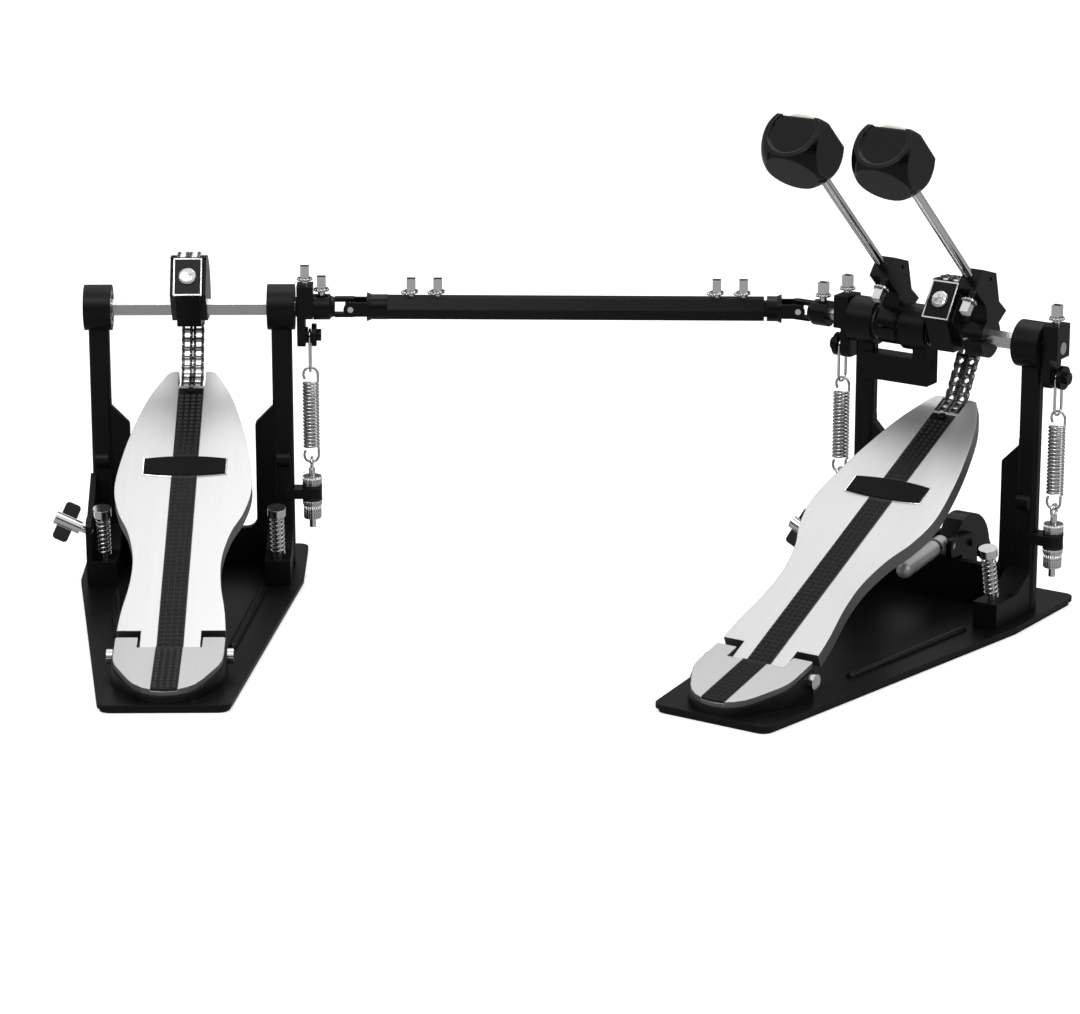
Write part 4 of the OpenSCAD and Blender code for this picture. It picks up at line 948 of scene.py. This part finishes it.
# %% Rings of ribs
rib_recipe = Recipe(
    "ring_of_ribs",
    {
        "Count": "Int",
        "Ring Radius": "Float",
        "Rib Radius": "Float",
        "Rib Height": "Float",
        "Sides": "Int",
    },
)
circle = rib_recipe.add(
    "GeometryNodeMeshCircle",
    None,
    {"Vertices": rib_recipe.size("Count"), "Radius": rib_recipe.size("Ring Radius")},
    "Mesh",
)
rib = rib_recipe.add(
    "GeometryNodeMeshCylinder",
    None,
    {
        "Vertices": rib_recipe.size("Sides"),
        "Radius": rib_recipe.size("Rib Radius"),
        "Depth": rib_recipe.size("Rib Height"),
    },
    "Mesh",
)
position = rib_recipe.add("GeometryNodeInputPosition")
aim = rib_recipe.add("FunctionNodeAlignRotationToVector", {"axis": "X"}, {"Vector": position})
rib_recipe.close(
    rib_recipe.add("GeometryNodeInstanceOnPoints", None, {"Points": circle, "Instance": rib, "Rotation": aim})
)
print("rib tree", len(rib_recipe.group.nodes), "nodes")

# %% [markdown]
# Each eye bolt has two knurled nuts and a knurled collar. Many narrow ribs on a circle read as
# straight knurling, and cost far less than cutting the grooves.


# %% Knurled nuts
def ribs(name, count, ring, radius, height, centre, sides=6, turn=None):
    made = rib_recipe.make(
        name,
        chrome,
        Count=count,
        Sides=sides,
        **{"Ring Radius": ring * MM, "Rib Radius": radius * MM, "Rib Height": height * MM},
    )
    if turn is not None:
        made.data.transform(turn)
    made.data.transform(Matrix.Translation(Vector(centre) * MM))
    return made


# name, count, ring radius, rib radius, height and middle of each knurl, in millimetres
KNURLS = (
    ("upper_nut", 36, 6.15, 0.32, 5.2, 63.25),
    ("lower_nut", 24, 5.5, 0.42, 8.4, 42.0),
    ("nut_collar", 36, 6.15, 0.3, 2.6, 48.25),
)


def nut_knurls(pedal, sides):
    """Knurling on the two nuts of each eye bolt of one pedal."""
    made = []
    for side in sides:
        for name, count, ring, radius, height, middle in KNURLS:
            made.append(ribs(name, count, ring, radius, height, (side * SPRING_X, 0, middle)))
    return joined(f"{pedal}_nut_knurls", made)


for pedal, sides in (("main", (1, -1)), ("side", (1,))):
    settle(nut_knurls(pedal, sides), chrome, f"{pedal}_unit", PLACE[pedal])
print("knurls on each eye bolt", len(KNURLS))

# %% [markdown]
# Every square-headed key screw has a frilled flange. Twelve fat ribs round its edge make the frill.
# Each screw's seat is a place on the part that it clamps, so its frill rides on the same body.

# %% Key screw frills
FLANGE_RIBS, FLANGE_R, FLANGE_T = 12, 4.35, 1.5
FRILL_R, FRILL_SIDES, FRILL_LIFT = 0.8, 8, 0.8
NECK, SHORT_NECK = 3, 2.4


def key_flange(centre, neck, turn=None):
    """The frill of one key screw, whose seat is at centre."""
    lift = Vector((0, 0, neck + FRILL_LIFT))
    spot = Vector(centre) + (turn.to_3x3() @ lift if turn is not None else lift)
    return ribs("frill", FLANGE_RIBS, FLANGE_R, FRILL_R, FLANGE_T, spot, FRILL_SIDES, turn)


AXLE_MM = AXLE_HEIGHT / MM
HUB_SCREW_TURN = Matrix.Rotation(BEATER_LEAN, 4, "X") @ Matrix.Rotation(math.radians(90), 4, "X")
HUB_SEAT = (0, 11, 31.5)
MAIN_HUB_X, SECOND_HUB_X = 23, -40.5
ROCKER_X, ROCKER_TOP = 75.7, AXLE_MM + 15
YOKE_BACK, YOKE_TOP = 24.8 - 5.4, AXLE_MM + 8.5
MAIN_YOKE_X, SIDE_YOKE_X = -113 + YOKE_BACK, 106 - YOKE_BACK


def hub_frill(x):
    """The frill on a hub's key screw, on the player's side of the leaning block."""
    seat = Vector((x, 0, AXLE_MM)) + Matrix.Rotation(BEATER_LEAN, 3, "X") @ Vector(HUB_SEAT)
    return key_flange(seat, NECK, HUB_SCREW_TURN)


def rocker_frill(side):
    return key_flange((side * ROCKER_X, 0, ROCKER_TOP), NECK)


def yoke_frill(x):
    return key_flange((x, 0, YOKE_TOP), SHORT_NECK)


frills = {
    "main_rotor": ("main", [hub_frill(MAIN_HUB_X), rocker_frill(1)]),
    "second_rotor": ("main", [hub_frill(SECOND_HUB_X), rocker_frill(-1), yoke_frill(MAIN_YOKE_X)]),
    "side_rotor": ("side", [rocker_frill(1), yoke_frill(SIDE_YOKE_X)]),
}
for body, (pedal, rings) in frills.items():
    settle(joined(f"{body}_key_frills", rings), chrome, body, PLACE[pedal])

TUBE_LEN = 247
TUBE_START = Vector((-389.86 + 24, 58.2, AXLE_MM + 7.3))
TUBE_SCREWS = (15.5, 33, TUBE_LEN - 31, TUBE_LEN - 13.5)
rings = [key_flange(TUBE_START + Vector((x, 0, 0)), SHORT_NECK) for x in TUBE_SCREWS]
settle(joined("tube_key_frills", rings), chrome, "drive_tube_body")
print("key screws with a frill", len(TUBE_SCREWS) + sum(len(rings) for _, rings in frills.values()))

# %% [markdown]
# The felt on each beater is a firm pressed disc. It is a soft thing, so its solid isn't shown: a
# disc with a crowned face and a softly rounded rim stands for it, with fine unevenness in its mesh.


# %% Felt discs
# radius and height of each ring, in millimetres
FELT_PROFILE = (
    (0.2, 0),
    (15.5, 0),
    (15.5, 1),
    (15.9, 1.6),
    (15.95, 3),
    (15.5, 3.9),
    (14.3, 4.4),
    (9, 4.6),
    (3, 4.7),
)
FELT_STEPS, FELT_WOBBLE = 72, 0.05
FELT_SEAT = (0, 29, 182)


def felt_disc(name, x):
    rings = []
    for radius, height in FELT_PROFILE:
        ring = []
        for i in range(FELT_STEPS):
            a = 2 * math.pi * i / FELT_STEPS
            wobble = FELT_WOBBLE * math.sin(7 * a + radius) * math.sin(3 * a)
            away = (radius + wobble) * MM
            ring.append((away * math.cos(a), away * math.sin(a), height * MM))
        rings.append(ring)
    disc = band(name, rings)
    lean = Matrix.Translation((x * MM, 0, AXLE_HEIGHT)) @ Matrix.Rotation(BEATER_LEAN, 4, "X")
    face = Matrix.Translation(Vector(FELT_SEAT) * MM) @ Matrix.Rotation(math.radians(-90), 4, "X")
    return disc, PLACE["main"] @ lean @ face


for name, x in (("main", MAIN_HUB_X), ("second", SECOND_HUB_X)):
    disc, place = felt_disc(f"{name}_felt_pad", x)
    settle(disc, felt, f"{name}_rotor", place)
    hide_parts(f"{name}_beater_felt")
print("corners in one felt disc", len(disc.data.vertices))

# %% [markdown]
# The front of each cam is a bright plate with a black strip on it, held by a domed screw with a cross
# recess. Both are lofts: rings of points, joined by faces. The cross needs no cutting, because its
# rings swing out in four places and the last of them lies lower.


# %% Cam strips
CAM_FRONT = Vector((0, -20, AXLE_MM + 11.5)) * MM
CAM_SLANT = math.atan2(22, 15)
CAM_FRONT_LEN, CAM_WIDE, CAM_RIM, PLATE_INSET = 26.6, 18.6, 0.9, 0.3
STRIP_STEPS = ((0, 0.9), (0, 2.35), (0.15, 2.45))
# radius in the arms of the cross, radius between them, and height of each ring
HEAD_RINGS = (
    (5.5, 5.5, 3.5),
    (5.5, 5.5, 3.8),
    (5.0, 5.0, 4.3),
    (3.9, 3.9, 4.6),
    (2.9, 1.0, 4.7),
    (2.7, 0.8, 3.9),
)
HEAD_STEPS, ARM_EVERY, ARM_STEPS, HEAD_TURN = 48, 12, (11, 0, 1), 0.3


def cam_strip(name):
    """The black strip on the front of a cam, which leaves a thin bright rim around it."""
    low, high = PLATE_INSET + CAM_RIM, CAM_FRONT_LEN - PLATE_INSET - CAM_RIM
    half = CAM_WIDE / 2 - CAM_RIM
    rings = []
    for inset, height in STRIP_STEPS:
        a, b, c = low + inset, high - inset, half - inset
        corners = ((a, -c), (b, -c), (b, c), (a, c))
        rings.append([(x * MM, y * MM, height * MM) for x, y in corners])
    return band(name, rings)


def cross_head(name, middle):
    """A domed screw head with a cross recess, round a middle given in millimetres."""
    rings = []
    for outer, inner, height in HEAD_RINGS:
        ring = []
        for i in range(HEAD_STEPS):
            radius = outer if i % ARM_EVERY in ARM_STEPS else inner
            a = 2 * math.pi * i / HEAD_STEPS + HEAD_TURN
            ring.append(((middle + radius * math.cos(a)) * MM, radius * math.sin(a) * MM, height * MM))
        rings.append(ring)
    return band(name, rings)


for pedal, body in (("main", "main_rotor"), ("side", "side_rotor")):
    front = PLACE[pedal] @ Matrix.Translation(CAM_FRONT) @ Matrix.Rotation(CAM_SLANT, 4, "X")
    strip = cam_strip(f"{pedal}_cam_strip")
    upright = front @ Matrix.Rotation(math.radians(90), 4, "Z")
    settle(strip, black_alloy, body, upright, smooth=False)
    head = cross_head(f"{pedal}_cam_screw", CAM_FRONT_LEN / 2)
    settle(head, chrome, body, upright, smooth=False)
print("cam screw corners", len(head.data.vertices))

# %% [markdown]
# The chain ends in the slot of the toe. Its last links lie flat against the board and move with it,
# so they are a piece of the board's body. Each is two round ends joined by straight sides, pushed
# out sideways, and the rollers are the same shape with both ends in one place.


# %% Toe links
TOE_ROLLERS = (246.6, 252.95, 259.3)
TOE_DEPTH = -2.4
TOE_PLATES, TOE_PLATE_R, TOE_PLATE_T = (-6.4, -1.3, 1.3, 6.4), 2.6, 1.2
TOE_ROLLER_R, TOE_ROLLER_LEN, END_STEPS = 1.9, 12, 8


def stadium(low, high, radius, x, thick, name):
    """A side plate of the chain: two round ends joined, drawn in Y and Z."""
    ring = []
    for middle, start in ((high, -90), (low, 90)):
        for i in range(END_STEPS + 1):
            a = math.radians(start + 180 * i / END_STEPS)
            ring.append((middle + radius * math.cos(a), TOE_DEPTH + radius * math.sin(a)))
    sides = [[(x + dx, y, z) for y, z in ring] for dx in (-thick / 2, thick / 2)]
    return band(name, [[tuple(v * MM for v in p) for p in side] for side in sides])


def toe_links(name):
    """The last links of the chain, which lie in the slot of the toe and end at the grip strip."""
    made = []
    for low, high in zip(TOE_ROLLERS, TOE_ROLLERS[1:]):
        for x in TOE_PLATES:
            made.append(stadium(low, high, TOE_PLATE_R, x, TOE_PLATE_T, "plate"))
    for middle in TOE_ROLLERS:
        made.append(stadium(middle, middle, TOE_ROLLER_R, 0, TOE_ROLLER_LEN, "roller"))
    return joined(name, made)


for pedal in PLACE:
    links = toe_links(f"{pedal}_toe_links")
    place = sloped(pedal, BOARD_FOOT, BOARD_SLOPE)
    settle(links, chains[pedal], f"{pedal}_board", place, smooth=False)
print("toe link corners", len(links.data.vertices))

# %% [markdown]
# One low black screw holds the grip strip near the toe. It is a loft of five rings, whose last ring
# is small and sunk, as a recess.


# %% Strip screws
SCREW_PROFILE = ((2.6, 0.2), (2.6, 0.9), (2.0, 1.5), (1.0, 1.75), (0.3, 1.3))
SCREW_STEPS = 24
STRIP_SCREW_AT = 240.5 * MM


def strip_screw(name):
    """A low screw near the toe of the grip strip."""
    rings = []
    for radius, height in SCREW_PROFILE:
        turns = [2 * math.pi * i / SCREW_STEPS for i in range(SCREW_STEPS)]
        rings.append([(radius * math.cos(a) * MM, radius * math.sin(a) * MM, height * MM) for a in turns])
    return band(name, rings)


for pedal in PLACE:
    screw = strip_screw(f"{pedal}_strip_screw")
    place = sloped(pedal, BOARD_FOOT, BOARD_SLOPE) @ Matrix.Translation((0, STRIP_SCREW_AT, STRIP_TOP))
    settle(screw, black_alloy, f"{pedal}_board", place)
print("strip screw corners", len(screw.data.vertices))

# %% [markdown]
# The floor is white and takes a soft shadow. A camera ray sees it a little brighter than it is lit,
# so it runs into the white background, while the light on the pedal stays plain.


# %% Floor and background
FLOOR_SIZE, FLOOR_GLOW, FLOOR_PALE, FLOOR_MIRRORED = 30, 0.56, 0.82, 0.4


def floor_finish():
    finish = Finish("pale_floor")
    tree = finish.tree
    path = tree.nodes.new("ShaderNodeLightPath")
    glossy = Wire(finish, path.outputs["Is Glossy Ray"])
    glow = tree.nodes.new("ShaderNodeEmission")
    glow.inputs["Color"].default_value = (1, 1, 1, 1)
    glow.inputs["Strength"].default_value = FLOOR_GLOW
    both = tree.nodes.new("ShaderNodeAddShader")
    either = tree.nodes.new("ShaderNodeMixShader")
    finish.set(Base_Color=finish.mix(glossy, colour(FLOOR_PALE), colour(FLOOR_MIRRORED)), Roughness=0.9)
    tree.links.new(finish.shader.outputs[0], both.inputs[0])
    tree.links.new(glow.outputs[0], both.inputs[1])
    tree.links.new(path.outputs["Is Camera Ray"], either.inputs[0])
    tree.links.new(finish.shader.outputs[0], either.inputs[1])
    tree.links.new(both.outputs[0], either.inputs[2])
    tree.links.new(either.outputs[0], tree.nodes["Material Output"].inputs["Surface"])
    return finish


bpy.ops.mesh.primitive_plane_add(size=FLOOR_SIZE, location=(0, 0, 0))
floor = bpy.context.object
floor.name = "floor"
floor.data.materials.append(floor_finish().material)
print("floor", FLOOR_SIZE, "m wide")

# %% [markdown]
# The world is plain for the light that falls on the pedal. Mirrors see a studio in it: dark at the
# sides and bright overhead, which leaves black parts black and gives bright metal its dark bands.

# %% Studio round the pedal
world = bpy.data.worlds.new("studio")
bpy.context.scene.world = world
world.use_nodes = True
nodes, links = world.node_tree.nodes, world.node_tree.links
path = nodes.new("ShaderNodeLightPath")
WORLD_LIGHT, SKY_LOW, SKY_HIGH = 0.55, 0.03, 0.88
SKY_FROM, SKY_TO = 0.2, 0.6
heading = nodes.new("ShaderNodeSeparateXYZ")
links.new(nodes.new("ShaderNodeTexCoord").outputs["Generated"], heading.inputs[0])
sky = nodes.new("ShaderNodeMapRange")
sky.interpolation_type = "SMOOTHSTEP"
links.new(heading.outputs[2], sky.inputs[0])
for socket, value in zip(list(sky.inputs)[1:5], (SKY_FROM, SKY_TO, SKY_LOW, SKY_HIGH)):
    socket.default_value = value
mirrored = nodes.new("ShaderNodeMapRange")
links.new(path.outputs["Is Glossy Ray"], mirrored.inputs[0])
mirrored.inputs[3].default_value = WORLD_LIGHT
links.new(sky.outputs[0], mirrored.inputs[4])
level = nodes.new("ShaderNodeMapRange")
links.new(path.outputs["Is Camera Ray"], level.inputs[0])
links.new(mirrored.outputs[0], level.inputs[3])
level.inputs[4].default_value = 1.0
nodes["Background"].inputs["Color"].default_value = (1, 1, 1, 1)
links.new(level.outputs[0], nodes["Background"].inputs["Strength"])
print("world light", WORLD_LIGHT)

# %% [markdown]
# Three soft boxes light the pedal: a key light from the player's left, one overhead and a weak one
# from the right. Large lamps near the object give soft shadows, as in a product photograph.


# %% Lamps
def softbox(name, at, aim, size, watts):
    data = bpy.data.lights.new(name, "AREA")
    data.shape = "RECTANGLE"
    data.size, data.size_y, data.energy = size[0], size[1], watts
    lamp = bpy.data.objects.new(name, data)
    bpy.context.collection.objects.link(lamp)
    lamp.location = at
    lamp.rotation_euler = (Vector(aim) - Vector(at)).to_track_quat("-Z", "Y").to_euler()
    return lamp


AIM = (-0.25, 0, 0.1)
# place in metres, width and height in metres, power in watts
LAMPS = {
    "key": ((-1.2, -1.4, 2.0), (1.2, 0.8), 16),
    "top": ((0.1, 0.5, 2.3), (1.6, 1.0), 16),
    "right": ((1.8, -0.9, 1.0), (0.5, 1.4), 6),
}
for name, (at, size, watts) in LAMPS.items():
    softbox(name, at, AIM, size, watts)
print("lamps", sorted(LAMPS))

# %% [markdown]
# The camera stands where the photograph was taken from: about 2.6 m away, a little above the pedals
# and looking down by 16 degrees through a long lens.

# %% Camera
CAMERA_AT = (-0.2079, -2.5617, 0.8073)
LOOKS_DOWN, HEADING = 0.2828, math.radians(1.23)
SENSOR, LENS, CLIP_END = 36, 136.7, 50

camera_data = bpy.data.cameras.new("camera")
camera_data.sensor_width = SENSOR
camera_data.lens = LENS
camera_data.clip_end = CLIP_END
camera = bpy.data.objects.new("camera", camera_data)
bpy.context.collection.objects.link(camera)
camera.location = CAMERA_AT
camera.rotation_euler = (math.radians(90) - LOOKS_DOWN, 0, HEADING)
bpy.context.scene.camera = camera
bpy.context.scene.view_settings.view_transform = "Standard"
print("camera at", CAMERA_AT)

# %% [markdown]

# %% End
print("end of scene")
